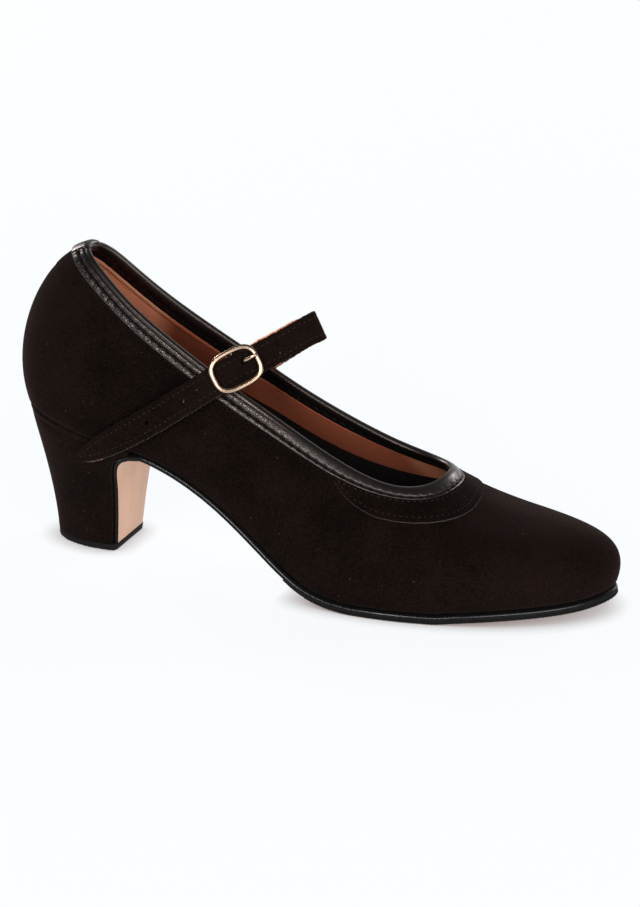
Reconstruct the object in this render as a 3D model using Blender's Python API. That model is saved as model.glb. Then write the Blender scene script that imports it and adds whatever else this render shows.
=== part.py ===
"""Flamenco shoe for the right foot: suede upper on a covered heel, bound topline, buckled instep strap.

The pattern tables are drawn in millimetres on the sample size, as a shoemaker draws them. Along runs from
the back of the heel to the toe (+X), across is negative on the outer side of the foot (-Y), up is +Z.
"""

import math

import bmesh
import bpy
import numpy as np

MM = 0.001
SAMPLE_LENGTH = 241.0
SAMPLE_BALL = 77.3
SAMPLE_BACK = 120.4

# Driving sizes, in millimetres
SHOE_LENGTH = 241.0  # over all, from the back of the heel to the toe
BALL_WIDTH = 77.3  # over all, across the sole at the ball
BACK_HEIGHT = 120.4  # over all, from the floor to the top of the binding at the back
UPPER_WALL = 1.6  # suede and lining together
GAP = 0.3  # clearance between neighbouring pieces
SOLE_THICK = 2.0  # leather outsole
RUBBER_THICK = 0.9  # half sole under the forefoot
TIP_THICK = 2.7  # heel tip
INSOLE_THICK = 2.0
BINDING_THICK = 0.6
BINDING_DEEP = 6.8  # how far the binding reaches down on each face
STRAP_WIDE = 11.2
STRAP_THICK = 2.4
BUCKLE_LONG = 20.0
BUCKLE_WIDE = 15.6
BUCKLE_WIRE = 1.7
PRONG_WIRE = 1.5
PRONG_SIDE = -1.1  # the prong has slid this far along its bar
BAR_WIRE = 1.6
TAB_WIDE = 9.0
TAB_THICK = 0.9

GRADE = np.array([SHOE_LENGTH / SAMPLE_LENGTH, BALL_WIDTH / SAMPLE_BALL, BACK_HEIGHT / SAMPLE_BACK])

# Ribs of the upper, from the back centre round the outer side to the toe and home along the inner side.
# foot: featherline in plan. top: topline. foot_out, foot_up: how the wall leaves the foot, outwards and up.
# top_out, top_down: the same for the wall as it reaches the topline from below.
RIB_COLUMNS = "foot_x foot_y top_x top_y top_z foot_out foot_up top_out top_down".split()
RIBS = [
    (6.2, 0.0, 29.6, 0.0, 119.6, 10.0, 24.0, 19.2, 6.0),
    (11.2, -14.3, 33.6, -8.2, 117.0, 8.2, 24.0, 16.4, 9.0),
    (24.0, -23.0, 42.5, -12.6, 110.0, 5.0, 22.0, 10.0, 14.0),
    (43.0, -26.0, 55.0, -15.6, 100.5, 3.5, 20.0, 6.0, 15.0),
    (66.0, -26.4, 72.0, -17.2, 89.6, 4.0, 16.0, 5.0, 14.0),
    (90.0, -28.6, 92.0, -18.0, 77.8, 4.5, 14.0, 5.0, 13.0),
    (115.0, -32.8, 112.0, -18.8, 67.2, 4.0, 15.0, 6.0, 14.0),
    (139.0, -37.0, 131.0, -20.0, 57.6, 3.5, 17.0, 8.0, 13.0),
    (163.0, -38.0, 148.0, -21.0, 50.4, 3.5, 19.0, 11.0, 12.0),
    (188.0, -33.8, 162.0, -19.8, 46.4, 5.0, 21.0, 14.0, 11.0),
    (212.0, -25.3, 172.0, -14.6, 45.6, 8.5, 24.0, 16.0, 14.0),
    (232.5, -12.4, 177.0, -7.5, 46.6, 11.4, 29.5, 17.0, 20.0),
    (243.1, 4.0, 178.5, 0.0, 47.4, 11.8, 32.5, 17.0, 22.5),
    (233.0, 20.9, 177.0, 7.5, 46.9, 11.4, 29.5, 17.0, 20.5),
    (213.5, 31.4, 172.0, 14.6, 46.0, 8.5, 24.0, 16.0, 15.0),
    (190.0, 35.8, 162.0, 19.8, 46.4, 5.0, 21.0, 14.0, 11.0),
    (165.0, 34.2, 148.0, 21.0, 49.8, 3.5, 19.0, 11.0, 12.0),
    (140.0, 27.8, 131.0, 20.0, 56.6, 5.0, 17.0, 8.0, 13.0),
    (116.0, 22.0, 112.0, 18.6, 65.8, 7.0, 16.0, 6.0, 14.0),
    (91.0, 19.8, 92.0, 17.6, 76.8, 8.0, 16.0, 5.0, 13.0),
    (66.0, 22.5, 72.0, 16.4, 88.0, 6.0, 16.0, 5.0, 14.0),
    (43.0, 25.0, 55.0, 14.6, 98.8, 4.0, 20.0, 6.0, 15.0),
    (24.0, 22.8, 42.5, 11.8, 109.0, 5.0, 22.0, 10.0, 14.0),
    (11.2, 14.3, 33.6, 7.8, 116.8, 8.2, 24.0, 16.4, 9.0),
]
TOE = 12  # the rib at the toe; outer and inner ribs pair off on each side of it
ROUND = 80  # facets round the upper
RIM_ROWS = [0.0, BINDING_DEEP / 2, BINDING_DEEP, 10.6, 14.2, 17.8]  # facet rows below the topline

# Height of the featherline along the shoe: heel seat, shank, flat tread, toe spring
FEATHER = [
    (0.0, 57.2), (5.0, 56.5), (20.0, 54.3), (40.0, 49.9), (55.0, 47.4), (64.0, 45.6), (71.0, 43.4),
    (79.0, 40.3), (88.0, 36.0), (97.0, 30.9), (106.0, 25.0), (115.0, 18.7), (124.0, 12.4), (132.0, 7.8),
    (139.0, 5.4), (146.0, 4.0), (154.0, 3.5), (183.0, 3.5), (192.0, 4.4), (202.0, 5.3), (212.0, 6.1),
    (222.0, 6.8), (231.0, 7.6), (239.0, 9.0), (246.0, 11.0),
]

# Underside of the outsole where it turns down the heel breast: along, height, half width
BREAST = [
    (46.8, 3.0, 12.4), (47.6, 14.0, 13.8), (48.5, 26.0, 16.2), (49.2, 33.0, 18.8), (50.6, 37.6, 21.4),
    (53.2, 40.8, 23.8), (57.2, 42.8, 25.4),
]

# How far the sole reaches past the featherline
SOLE_REACH = [(50.0, 0.2), (90.0, 0.5), (135.0, 1.5), (200.0, 1.6), (228.0, 1.3), (238.0, 0.9), (245.0, 0.2)]
SOLE_START = 3.85  # rib place where the shank leaves the heel breast
RUBBER_START = 6.47  # rib place of the half sole's straight rear edge
RUBBER_SKIVE = [(0.0, 0.25), (14.0, 1.0), (200.0, 1.0)]  # share of its thickness ahead of that edge

# Heel tip: an ellipse cut straight by the breast
TIP_CENTRE = 40.0
TIP_DEEP = 23.0
TIP_HALF = 14.8
TIP_FRONT = 46.8
HEEL_FRONT = 3.6  # rib place of the heel's front corners under the seat
HEEL_CURVE = 1.4  # hollow of the heel's back line
HEEL_FLARE = 0.6  # extra hollow at the breast corners

# Throat overlay: rib place and width below the binding
OVERLAY = [
    (7.4, 2.0), (7.7, 7.0), (8.3, 10.2), (9.5, 10.6), (11.0, 9.4), (12.0, 7.9), (13.0, 7.2), (14.5, 9.4),
    (15.7, 10.2), (16.3, 7.0), (16.6, 2.0),
]

# Centre line of the strap and the way its suede faces, from the free tip on the heel to the sewn end
STRAP = [
    (32.2, -26.6, 39.2, -0.04, -0.96, 0.28),
    (48.6, -30.0, 49.5, 0.06, -0.92, 0.38),
    (67.0, -30.4, 61.6, 0.12, -0.91, 0.42),
    (88.4, -24.9, 77.0, 0.18, -0.90, 0.42),
    (99.2, -20.6, 84.3, 0.22, -0.91, 0.36),
    (112.5, -13.0, 92.0, 0.30, -0.88, 0.36),
    (121.0, -7.2, 97.4, 0.36, -0.84, 0.40),
    (124.0, -3.0, 98.8, 0.75, -0.25, 0.45),
    (122.8, 1.4, 97.8, 0.60, 0.74, 0.28),
    (111.6, 11.2, 89.2, 0.48, 0.84, 0.24),
    (98.0, 20.2, 78.2, 0.22, 0.94, 0.26),
    (86.0, 23.6, 68.8, 0.05, 0.96, 0.28),
    (77.0, 25.3, 61.6, 0.00, 0.97, 0.24),
]
BUCKLE_AT = 4.0  # strap row under the buckle's centre bar
TAB_END = 2.5  # strap row over the sewn end of the buckle's loop
HOLES_AT = [2.58, 2.0]  # strap rows of the spare holes
STRAP_TIP = [
    (0.06, 0.06), (0.3, 0.34), (0.55, 0.55), (0.8, 0.74), (1.05, 0.86), (1.5, 0.95), (2.2, 1.0), (13.0, 1.0),
]  # strap row and share of its width there: a long point at the free tip


def closed_spline(rows, place):
    """Rows of a table as a smooth closed curve, read at each place, where one step is one row."""
    rows = np.asarray(rows, float)
    count = len(rows)
    ring = 4 * np.eye(count) + np.roll(np.eye(count), 1, 0) + np.roll(np.eye(count), -1, 0)
    bend = np.linalg.solve(ring, 6 * (np.roll(rows, 1, 0) - 2 * rows + np.roll(rows, -1, 0)))
    start = np.floor(place).astype(int)
    a, b = start % count, (start + 1) % count
    t = (place - start)[..., None]
    sag = (2 - t) * bend[a] + (1 + t) * bend[b]
    return (1 - t) * rows[a] + t * rows[b] - t * (1 - t) / 6 * sag


def profile(table, x):
    """A two-column table as a smooth curve that never overshoots: equal rows give a flat stretch."""
    xs, ys = np.asarray(table, float).T
    run, step = np.diff(xs), np.diff(ys)
    slope = step / run
    before, after = slope[:-1], slope[1:]
    mean = np.where(before * after > 0, 2 * before * after / (before + after + 1e-12), 0)
    tangent = np.concatenate([slope[:1], mean, slope[-1:]])
    i = np.clip(np.searchsorted(xs, x) - 1, 0, len(run) - 1)
    t = (x - xs[i]) / run[i]
    rise = ys[i] + step[i] * t * t * (3 - 2 * t)
    return rise + run[i] * t * (1 - t) * (tangent[i] * (1 - t) - tangent[i + 1] * t)


def column(rib, name):
    """One named column of the ribs."""
    return rib[..., RIB_COLUMNS.index(name), None]


def feather(place, out=0.0):
    """The featherline, round the foot of the upper, moved out in plan by out."""
    foot = closed_spline([row[:2] for row in RIBS], place)
    ahead = closed_spline([row[:2] for row in RIBS], place + 0.01) - foot
    outward = np.stack([ahead[..., 1], -ahead[..., 0]], -1) / np.linalg.norm(ahead, axis=-1, keepdims=True)
    plan = foot + outward * np.asarray(out)[..., None]
    return np.concatenate([plan, profile(FEATHER, foot[..., 0])[..., None]], -1), outward


def skin(place, share):
    """The suede's outer face. Place runs round the shoe rib by rib, share from featherline to topline."""
    rib = closed_spline(RIBS, place)
    foot, outward = feather(place)
    top = np.concatenate([column(rib, axis) for axis in ("top_x", "top_y", "top_z")], -1)
    fan = foot[..., :2] - top[..., :2]
    fan = fan / np.linalg.norm(fan, axis=-1, keepdims=True)
    low = foot + np.concatenate([outward * column(rib, "foot_out"), column(rib, "foot_up")], -1)
    high = top + np.concatenate([fan * column(rib, "top_out"), -column(rib, "top_down")], -1)
    t = np.asarray(share)[..., None]
    return (1 - t) ** 3 * foot + 3 * t * (1 - t) ** 2 * low + 3 * t * t * (1 - t) * high + t ** 3 * top


def skin_out(place, share, out):
    """The suede's outer face moved out along its normal."""
    step = 1e-3
    inside = np.clip(share, step, 1 - step)
    round_way = skin(place + step, inside) - skin(place - step, inside)
    up_way = skin(place, inside + step) - skin(place, inside - step)
    normal = np.cross(round_way, up_way)
    normal = normal / np.linalg.norm(normal, axis=-1, keepdims=True)
    return skin(place, share) + normal * np.asarray(out)[..., None]


def rim_share(place, down):
    """Share of the rib that lies a distance down from the topline."""
    share = np.linspace(0, 1, 161)
    rib = skin(place[:, None] + 0 * share, share[None, :] + 0 * place[:, None])
    left = np.linalg.norm(np.diff(rib, axis=1), axis=-1)
    left = np.concatenate([np.cumsum(left[:, ::-1], 1)[:, ::-1], np.zeros((len(place), 1))], 1)
    return np.array([np.interp(-max(d, 0), -row, share) for d, row in zip(down + 0 * place, left)])


def rim(place, down, out):
    """A point down from the topline along its rib and out from the suede; a negative down is above it."""
    way = skin(place, 1 + 0 * place) - skin(place, 0.98 + 0 * place)
    way = way / np.linalg.norm(way, axis=-1, keepdims=True)
    above = np.maximum(-(down + 0 * place), 0)
    return skin_out(place, rim_share(place, down), out + 0 * place) + way * above[:, None]


def seat_lift(x):
    """Unit way up through the sole under the featherline at x."""
    slope = profile(FEATHER, x + 0.5) - profile(FEATHER, x - 0.5)
    lift = np.stack([-slope, 0 * slope, 1 + 0 * slope], -1)
    return lift / np.linalg.norm(lift, axis=-1, keepdims=True)


def half_row(rib, count):
    """Places from an outer rib round the toe to its partner on the inner side, closer at the toe."""
    half = TOE - rib
    s = np.linspace(-1, 1, 2 * count)
    return TOE + half * s * (0.55 + 0.45 * np.abs(s))


def breast(height):
    """Outer edge of the leather down the breast, at a height through it from its underside."""
    row = np.linspace(0, len(BREAST) - 1, 16)
    along, rise, half = [profile(list(enumerate(column)), row) for column in zip(*BREAST)]
    turn = np.stack([-np.gradient(rise), 0 * row, np.gradient(along)], -1)
    turn = turn / np.linalg.norm(turn, axis=-1, keepdims=True)
    return np.stack([along, -half, rise], -1) + turn * height


def outsole_ring(height, inset):
    """Edge of the outsole at a height above its underside: up the breast, round the toe and down again."""
    place = half_row(SOLE_START, 42)
    plan, _ = feather(place)
    reach = profile(SOLE_REACH, plan[:, 0])
    edge, _ = feather(place, reach - inset)
    lift = seat_lift(plan[:, 0])
    edge = edge + lift * (height - SOLE_THICK - GAP)
    outer = breast(height)
    outer[:, 1] += inset
    inner = outer * [1, -1, 1]
    return np.concatenate([outer[:-1], edge, inner[-2::-1]])


def rubber_ring(depth, inset):
    """Edge of the half sole at a depth below its top face; the rear is skived thin."""
    place = half_row(RUBBER_START, 34)
    plan, _ = feather(place)
    reach = profile(SOLE_REACH, plan[:, 0])
    edge, _ = feather(place, reach - inset)
    skive = profile(RUBBER_SKIVE, plan[:, 0] - plan[:, 0].min())
    return edge - seat_lift(plan[:, 0]) * (GAP + depth * skive + SOLE_THICK + GAP)[:, None]


def insole_ring(height, inset):
    """Edge of the insole at a height above the featherline, from the heel round the toe and back."""
    place = half_row(0.12, 44)
    edge, _ = feather(place, -UPPER_WALL - inset + 0 * place)
    return edge + [0, 0, height]


def heel_ring(level):
    """Edge of the heel block, from the tip (level 0) to the heel seat (level 1)."""
    s = np.linspace(-1, 1, 40)
    seat, _ = feather(HEEL_FRONT * s)
    seat[:, 2] -= GAP
    turn = np.abs(s) * math.acos((TIP_CENTRE - TIP_FRONT) / TIP_DEEP)
    foot = np.stack([TIP_CENTRE - TIP_DEEP * np.cos(turn), -np.sign(s) * TIP_HALF * np.sin(turn), 0 * s], -1)
    foot[:, 2] = TIP_THICK + GAP
    mix = level ** (HEEL_CURVE + HEEL_FLARE * np.abs(s) ** 6)
    ring = foot + (seat - foot) * np.stack([mix, mix, level + 0 * s], -1)
    rear, corner = ring[:, 0].min(), ring[0, 0]
    back = breast(SOLE_THICK + 1.5 * GAP)
    front = np.interp(ring[0, 2], back[:, 2], back[:, 0])
    ring[:, 0] = rear + (ring[:, 0] - rear) * (front - rear) / (corner - rear)
    return ring


def open_spline(rows, place):
    """Rows of a table as a smooth open curve."""
    rows = np.asarray(rows, float)
    return np.stack([natural(rows[:, k], place) for k in range(rows.shape[1])], -1)


def natural(values, place):
    """One column of evenly spaced values as a smooth curve with straight ends."""
    count = len(values)
    band = 4 * np.eye(count) + np.eye(count, k=1) + np.eye(count, k=-1)
    band[0], band[-1] = np.eye(count)[0], np.eye(count)[-1]
    pull = np.zeros(count)
    pull[1:-1] = 6 * (values[:-2] - 2 * values[1:-1] + values[2:])
    bend = np.linalg.solve(band, pull)
    a = np.clip(np.floor(place).astype(int), 0, count - 2)
    t = place - a
    sag = (2 - t) * bend[a] + (1 + t) * bend[a + 1]
    return (1 - t) * values[a] + t * values[a + 1] - t * (1 - t) / 6 * sag


def strap_frame(place):
    """Centre, way along, way across and way out of the strap."""
    row = open_spline(STRAP, place)
    along = open_spline(STRAP, place + 0.01)[:, :3] - open_spline(STRAP, place - 0.01)[:, :3]
    along = along / np.linalg.norm(along, axis=-1, keepdims=True)
    across = np.cross(along, row[:, 3:])
    across = across / np.linalg.norm(across, axis=-1, keepdims=True)
    return row[:, :3], along, across, np.cross(across, along)


def strap_section(place):
    """Sections of the strap: flat faces with eased edges, drawn in to the point of the free tip."""
    centre, _, across, out = strap_frame(place)
    wide = STRAP_WIDE / 2 * profile(STRAP_TIP, place)
    half = STRAP_THICK / 2
    sides = [(-1, -0.6), (-0.9, -1), (0.9, -1), (1, -0.6), (1, 0.6), (0.9, 1), (-0.9, 1), (-1, 0.6)]
    rings = [centre + across * (wide * a)[:, None] + out * half * b for a, b in sides]
    return np.stack(rings, 1)


def clear_scene():
    for thing in list(bpy.data.objects):
        bpy.data.objects.remove(thing)


def group(name):
    made = bpy.data.collections.new(name)
    bpy.context.scene.collection.children.link(made)
    return made


def finish(name, colour, rough, metal=0.0):
    """A plain material from an 8-bit colour."""
    made = bpy.data.materials.new(name)
    made.use_nodes = True
    shader = made.node_tree.nodes["Principled BSDF"]
    linear = [((c / 255 + 0.055) / 1.055) ** 2.4 if c > 10 else c / 255 / 12.92 for c in colour]
    shader.inputs["Base Color"].default_value = (*linear, 1)
    shader.inputs["Roughness"].default_value = rough
    shader.inputs["Metallic"].default_value = metal
    return made


def keep(name, form, home, coat):
    """One object from a finished bmesh."""
    bmesh.ops.recalc_face_normals(form, faces=form.faces)
    mesh = bpy.data.meshes.new(name)
    form.to_mesh(mesh)
    form.free()
    thing = bpy.data.objects.new(name, mesh)
    if coat:
        mesh.materials.append(coat)
    mesh.shade_smooth()
    mesh.set_sharp_from_angle(angle=math.radians(40))
    home.objects.link(thing)
    return thing


def solid(name, rings, home, coat, wrap=False):
    """A closed body from rings of points. Open ends are closed across, each point to its partner."""
    form = bmesh.new()
    loops = [[form.verts.new(point * MM * GRADE) for point in ring] for ring in rings]
    count = len(loops[0])
    spans = list(zip(loops, loops[1:]))
    if wrap:
        spans.append((loops[-1], loops[0]))
    for low, high in spans:
        for i in range(count):
            j = (i + 1) % count
            form.faces.new((low[i], low[j], high[j], high[i]))
    for loop in [] if wrap else [loops[0], loops[-1]]:
        for i in range(count // 2 - 1):
            form.faces.new((loop[i], loop[i + 1], loop[count - 2 - i], loop[count - 1 - i]))
    return keep(name, form, home, coat)


def rod(name, points, wire, home, coat, cyclic=False, resolution=2):
    """A round wire along a smooth line."""
    curve = bpy.data.curves.new(name, "CURVE")
    curve.dimensions = "3D"
    curve.bevel_depth = wire / 2 * MM
    curve.bevel_resolution = resolution
    curve.use_fill_caps = True
    spline = curve.splines.new("POLY")
    spline.points.add(len(points) - 1)
    for point, where in zip(spline.points, points):
        point.co = (*(where * MM * GRADE), 1)
    spline.use_cyclic_u = cyclic
    temporary = bpy.data.objects.new(name, curve)
    bpy.context.scene.collection.objects.link(temporary)
    bpy.context.view_layer.update()
    mesh = bpy.data.meshes.new_from_object(temporary.evaluated_get(bpy.context.evaluated_depsgraph_get()))
    bpy.data.objects.remove(temporary)
    form = bmesh.new()
    form.from_mesh(mesh)
    bpy.data.meshes.remove(mesh)
    bmesh.ops.remove_doubles(form, verts=form.verts, dist=1e-6)
    return keep(name, form, home, coat)


def combine(body, other, operation):
    """A Boolean on body, applied in place as a live modifier."""
    step = body.modifiers.new(operation.lower(), "BOOLEAN")
    step.object = other
    step.operation = operation
    step.solver = "EXACT"


def cutter(thing):
    thing.hide_render = True
    thing.display_type = "WIRE"
    return thing


def build_upper(parts):
    place = np.linspace(0, len(RIBS), ROUND, endpoint=False)
    lowest = rim_share(place, RIM_ROWS[-1])
    shares = [lowest * k for k in np.linspace(0, 1, 6)]
    shares += [rim_share(place, down) for down in reversed(RIM_ROWS[:-1])]
    rows = [skin_out(place, share, 0 * place) for share in shares]
    rows += [skin_out(place, share, -UPPER_WALL + 0 * place) for share in reversed(shares)]
    solid("upper", rows, parts, finish("suede", (38, 30, 28), 0.95), wrap=True)


def build_binding(parts):
    place = np.linspace(0, len(RIBS), ROUND, endpoint=False)
    lining = -UPPER_WALL - GAP
    face, back = GAP + BINDING_THICK, lining - BINDING_THICK
    half = BINDING_DEEP / 2
    bend = 0.7 * BINDING_THICK
    outside = [(BINDING_DEEP, face), (half, face), (0.2, face), (-0.9, face - bend)]
    inside = [(-0.9, back + bend), (0.2, back), (half, back), (BINDING_DEEP, back)]
    slot = [(BINDING_DEEP, lining), (half, lining), (-GAP, lining)]
    slot += [(-GAP, GAP), (half, GAP), (BINDING_DEEP, GAP)]
    section = outside + [(-1.1, -UPPER_WALL / 2)] + inside + slot
    rows = [rim(place, down, out) for down, out in section]
    solid("binding", rows, parts, finish("nappa", (30, 27, 27), 0.35), wrap=True)


def build_overlay(parts):
    place = np.linspace(OVERLAY[0][0], OVERLAY[-1][0], 46)
    top = BINDING_DEEP + GAP
    low = top + profile(OVERLAY, place)
    deep = [top + (low - top) * k for k in (0.0, 0.35, 0.7, 1.0)]
    edge = [rim(place, down, GAP + BINDING_THICK) for down in deep]
    edge += [rim(place, down, GAP) for down in reversed(deep)]
    solid("throat_overlay", np.stack(edge, 1), parts, finish("suede_overlay", (38, 30, 28), 0.95))


def build_sole(parts):
    thick = SOLE_THICK
    bevels = [(0.0, 0.5), (0.5, 0.0), (thick - 0.8, 0.0), (thick, 0.8)]
    rings = [outsole_ring(height, inset) for height, inset in bevels]
    solid("outsole", rings, parts, finish("sole_leather", (178, 142, 116), 0.55))
    deep = RUBBER_THICK
    rings = [rubber_ring(deep, 0.7), rubber_ring(deep - 0.4, 0.3), rubber_ring(0, 0.2)]
    solid("half_sole", rings, parts, finish("rubber", (26, 25, 25), 0.7))
    rings = [insole_ring(0.2, 0.6), insole_ring(INSOLE_THICK, 0.6)]
    solid("insole", rings, parts, finish("sock", (30, 24, 22), 0.8))


def build_heel(parts):
    rings = [heel_ring(level) for level in 1 - np.linspace(1, 0, 11) ** 1.7]
    solid("heel", rings, parts, finish("suede_heel", (38, 30, 28), 0.95))
    turn = np.linspace(-1, 1, 40) * math.acos((TIP_CENTRE - TIP_FRONT) / TIP_DEEP)
    outline = np.stack([TIP_CENTRE - TIP_DEEP * np.cos(turn), TIP_HALF * np.sin(turn), 0 * turn], -1)
    rings = [outline, outline + [0, 0, TIP_THICK]]
    solid("heel_tip", rings, parts, finish("tip_rubber", (24, 23, 23), 0.6))


def build_strap(parts, cutters):
    stretches = [(STRAP_TIP[0][0], 1.2, 9), (1.2, 6.0, 22), (6.0, 9.0, 17), (9.0, len(STRAP) - 1, 10)]
    place = np.concatenate([np.linspace(a, b, count, endpoint=False) for a, b, count in stretches])
    place = np.append(place, len(STRAP) - 1)
    strap = solid("strap", strap_section(place), parts, finish("strap_suede", (38, 30, 28), 0.95))
    centre, along, across, out = [v[0] for v in strap_frame(np.array([BUCKLE_AT]))]

    def local(a, b, n):
        return centre + along * a + across * b + out * n

    for number, row in enumerate(HOLES_AT):
        middle, _, _, way = [v[0] for v in strap_frame(np.array([row]))]
        ends = np.stack([middle - way * 4, middle + way * 4])
        combine(strap, cutter(rod(f"spare_hole_{number}", ends, 2.0, cutters, None)), "DIFFERENCE")
    brass = finish("pale_gold", (214, 184, 150), 0.25, 1.0)
    half_long, half_wide = (BUCKLE_LONG - BUCKLE_WIRE) / 2, (BUCKLE_WIDE - BUCKLE_WIRE) / 2
    high = STRAP_THICK / 2 + GAP + BUCKLE_WIRE / 2
    turn = np.linspace(0, 2 * math.pi, 44, endpoint=False)
    long, wide = [np.sign(swing) * np.abs(swing) ** (2 / 3) for swing in (np.cos(turn), np.sin(turn))]
    loop = [local(half_long * a, half_wide * b, high) for a, b in zip(long, wide)]
    frame = rod("buckle_frame", np.array(loop), BUCKLE_WIRE, parts, brass, cyclic=True)
    bar_low = -STRAP_THICK / 2 - 2 * GAP - TAB_THICK - BAR_WIRE / 2
    leg = half_wide
    side = [(leg - 1.4, bar_low), (leg - 0.5, bar_low + 0.4), (leg, bar_low + 1.4), (leg, high)]
    bar = [local(0, -b, n) for b, n in reversed(side)] + [local(0, b, n) for b, n in side]
    combine(frame, cutter(rod("centre_bar", np.array(bar), BAR_WIRE, cutters, None)), "UNION")
    around = BAR_WIRE / 2 + GAP + PRONG_WIRE / 2
    bend = np.radians(np.linspace(150, 345, 12))
    hook = [(around * math.cos(angle), bar_low + around * math.sin(angle)) for angle in bend]
    rest = high + 2.0
    reach = [(2.2, -2.6), (3.3, 0.0), (4.2, 2.1), (5.2, 3.3), (6.6, 4.0), (8.2, rest), (9.6, rest)]
    prong = [local(a, PRONG_SIDE, n) for a, n in hook + reach]
    rod("buckle_prong", np.array(prong), PRONG_WIRE, parts, brass)
    slot = np.array([local(a, PRONG_SIDE, n) for a, n in [(1.7, -3.8), (3.3, 0.0), (4.9, 3.8)]])
    combine(strap, cutter(rod("prong_hole", slot, PRONG_WIRE + 0.8, cutters, None)), "DIFFERENCE")
    build_tab(parts, cutters, local, bar_low)


def build_tab(parts, cutters, local, bar_low):
    """The loop that holds the buckle: up under the strap, round the centre bar, slotted for the prong."""
    sides = [(-1, -1), (1, -1), (1, 1), (-1, 1)]
    centre, _, across, out = strap_frame(np.linspace(TAB_END, BUCKLE_AT, 14)[:-1])
    level = -STRAP_THICK / 2 - GAP - TAB_THICK / 2
    rings = [[c + w * a * TAB_WIDE / 2 + n * (level + b * TAB_THICK / 2) for a, b in sides]
             for c, w, n in zip(centre, across, out)]
    middle = BAR_WIRE / 2 + GAP + TAB_THICK / 2
    for angle in np.radians(np.linspace(90, -150, 13)):
        reach = [middle + b * TAB_THICK / 2 for _, b in sides]
        rings.append([local(r * math.cos(angle), a * TAB_WIDE / 2, bar_low + r * math.sin(angle))
                      for r, (a, _) in zip(reach, sides)])
    tab = solid("buckle_tab", np.array(rings), parts, finish("tab_leather", (30, 27, 27), 0.5))
    wide = PRONG_WIRE / 2 + 0.5
    sides = [(-wide, -8), (wide, -8), (wide, 1), (-wide, 1)]
    box = [[local(a, PRONG_SIDE + b, n) for b, n in sides] for a in (-4.5, 5)]
    combine(tab, cutter(solid("prong_slot", np.array(box), cutters, None)), "DIFFERENCE")


def stand(parts, cutters):
    """Everything hangs on one empty, which puts the middle of the footprint at the origin."""
    base = bpy.data.objects.new("shoe_base", None)
    bpy.context.scene.collection.objects.link(base)
    corners = [np.array(piece.bound_box) for piece in parts.objects]
    low = np.min([c.min(0) for c in corners], 0)
    high = np.max([c.max(0) for c in corners], 0)
    for piece in [*parts.objects, *cutters.objects]:
        piece.parent = base
    base.location = (-(low[0] + high[0]) / 2, -(low[1] + high[1]) / 2, 0)


def main():
    clear_scene()
    parts = group("flamenco_shoe")
    cutters = group("cutters")
    build_upper(parts)
    build_binding(parts)
    build_overlay(parts)
    build_sole(parts)
    build_heel(parts)
    build_strap(parts, cutters)
    stand(parts, cutters)


if __name__ == "__main__":
    main()
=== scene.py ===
import math

import bpy
import numpy as np
from bpy.props import FloatProperty, FloatVectorProperty, PointerProperty
from mathutils import Matrix, Vector


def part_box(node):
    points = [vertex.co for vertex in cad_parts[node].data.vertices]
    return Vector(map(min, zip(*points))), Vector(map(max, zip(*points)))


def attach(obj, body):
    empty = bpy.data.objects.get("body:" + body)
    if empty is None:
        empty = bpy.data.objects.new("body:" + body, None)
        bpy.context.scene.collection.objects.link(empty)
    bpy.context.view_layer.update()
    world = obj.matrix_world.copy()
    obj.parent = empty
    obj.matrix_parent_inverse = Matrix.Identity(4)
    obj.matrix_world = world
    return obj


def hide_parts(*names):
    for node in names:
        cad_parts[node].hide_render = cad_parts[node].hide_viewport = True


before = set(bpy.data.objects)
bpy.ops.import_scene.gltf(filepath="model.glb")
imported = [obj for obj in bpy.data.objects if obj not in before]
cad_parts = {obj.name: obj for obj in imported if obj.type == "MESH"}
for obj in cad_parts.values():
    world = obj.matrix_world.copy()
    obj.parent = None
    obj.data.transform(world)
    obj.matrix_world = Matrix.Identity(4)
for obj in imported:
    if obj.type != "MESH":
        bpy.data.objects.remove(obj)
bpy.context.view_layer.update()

bl_info = {
    "name": "Flamenco Shoe",
    "version": (1, 0, 0),
    "blender": (4, 5, 0),
    "location": "View3D > Sidebar > Flamenco",
    "description": "Dresses the solids of a flamenco shoe in suede, nappa, stitching and pale gold",
    "category": "Object",
}

MM = 0.001

# Clearance between neighbouring parts, in millimetres
GAP = 0.3

# The pattern tables are in millimetres on the sample size: along from the back of the heel to the toe,
# across with the outer side negative, up from the floor. The heel tip's solid says where the pattern
# stands in the row frame.
TIP_BACK = 17.0
tip_low, tip_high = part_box("heel_tip")
SHIFT = np.array([tip_low.x - TIP_BACK * MM, (tip_low.y + tip_high.y) / 2, 0.0])

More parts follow.
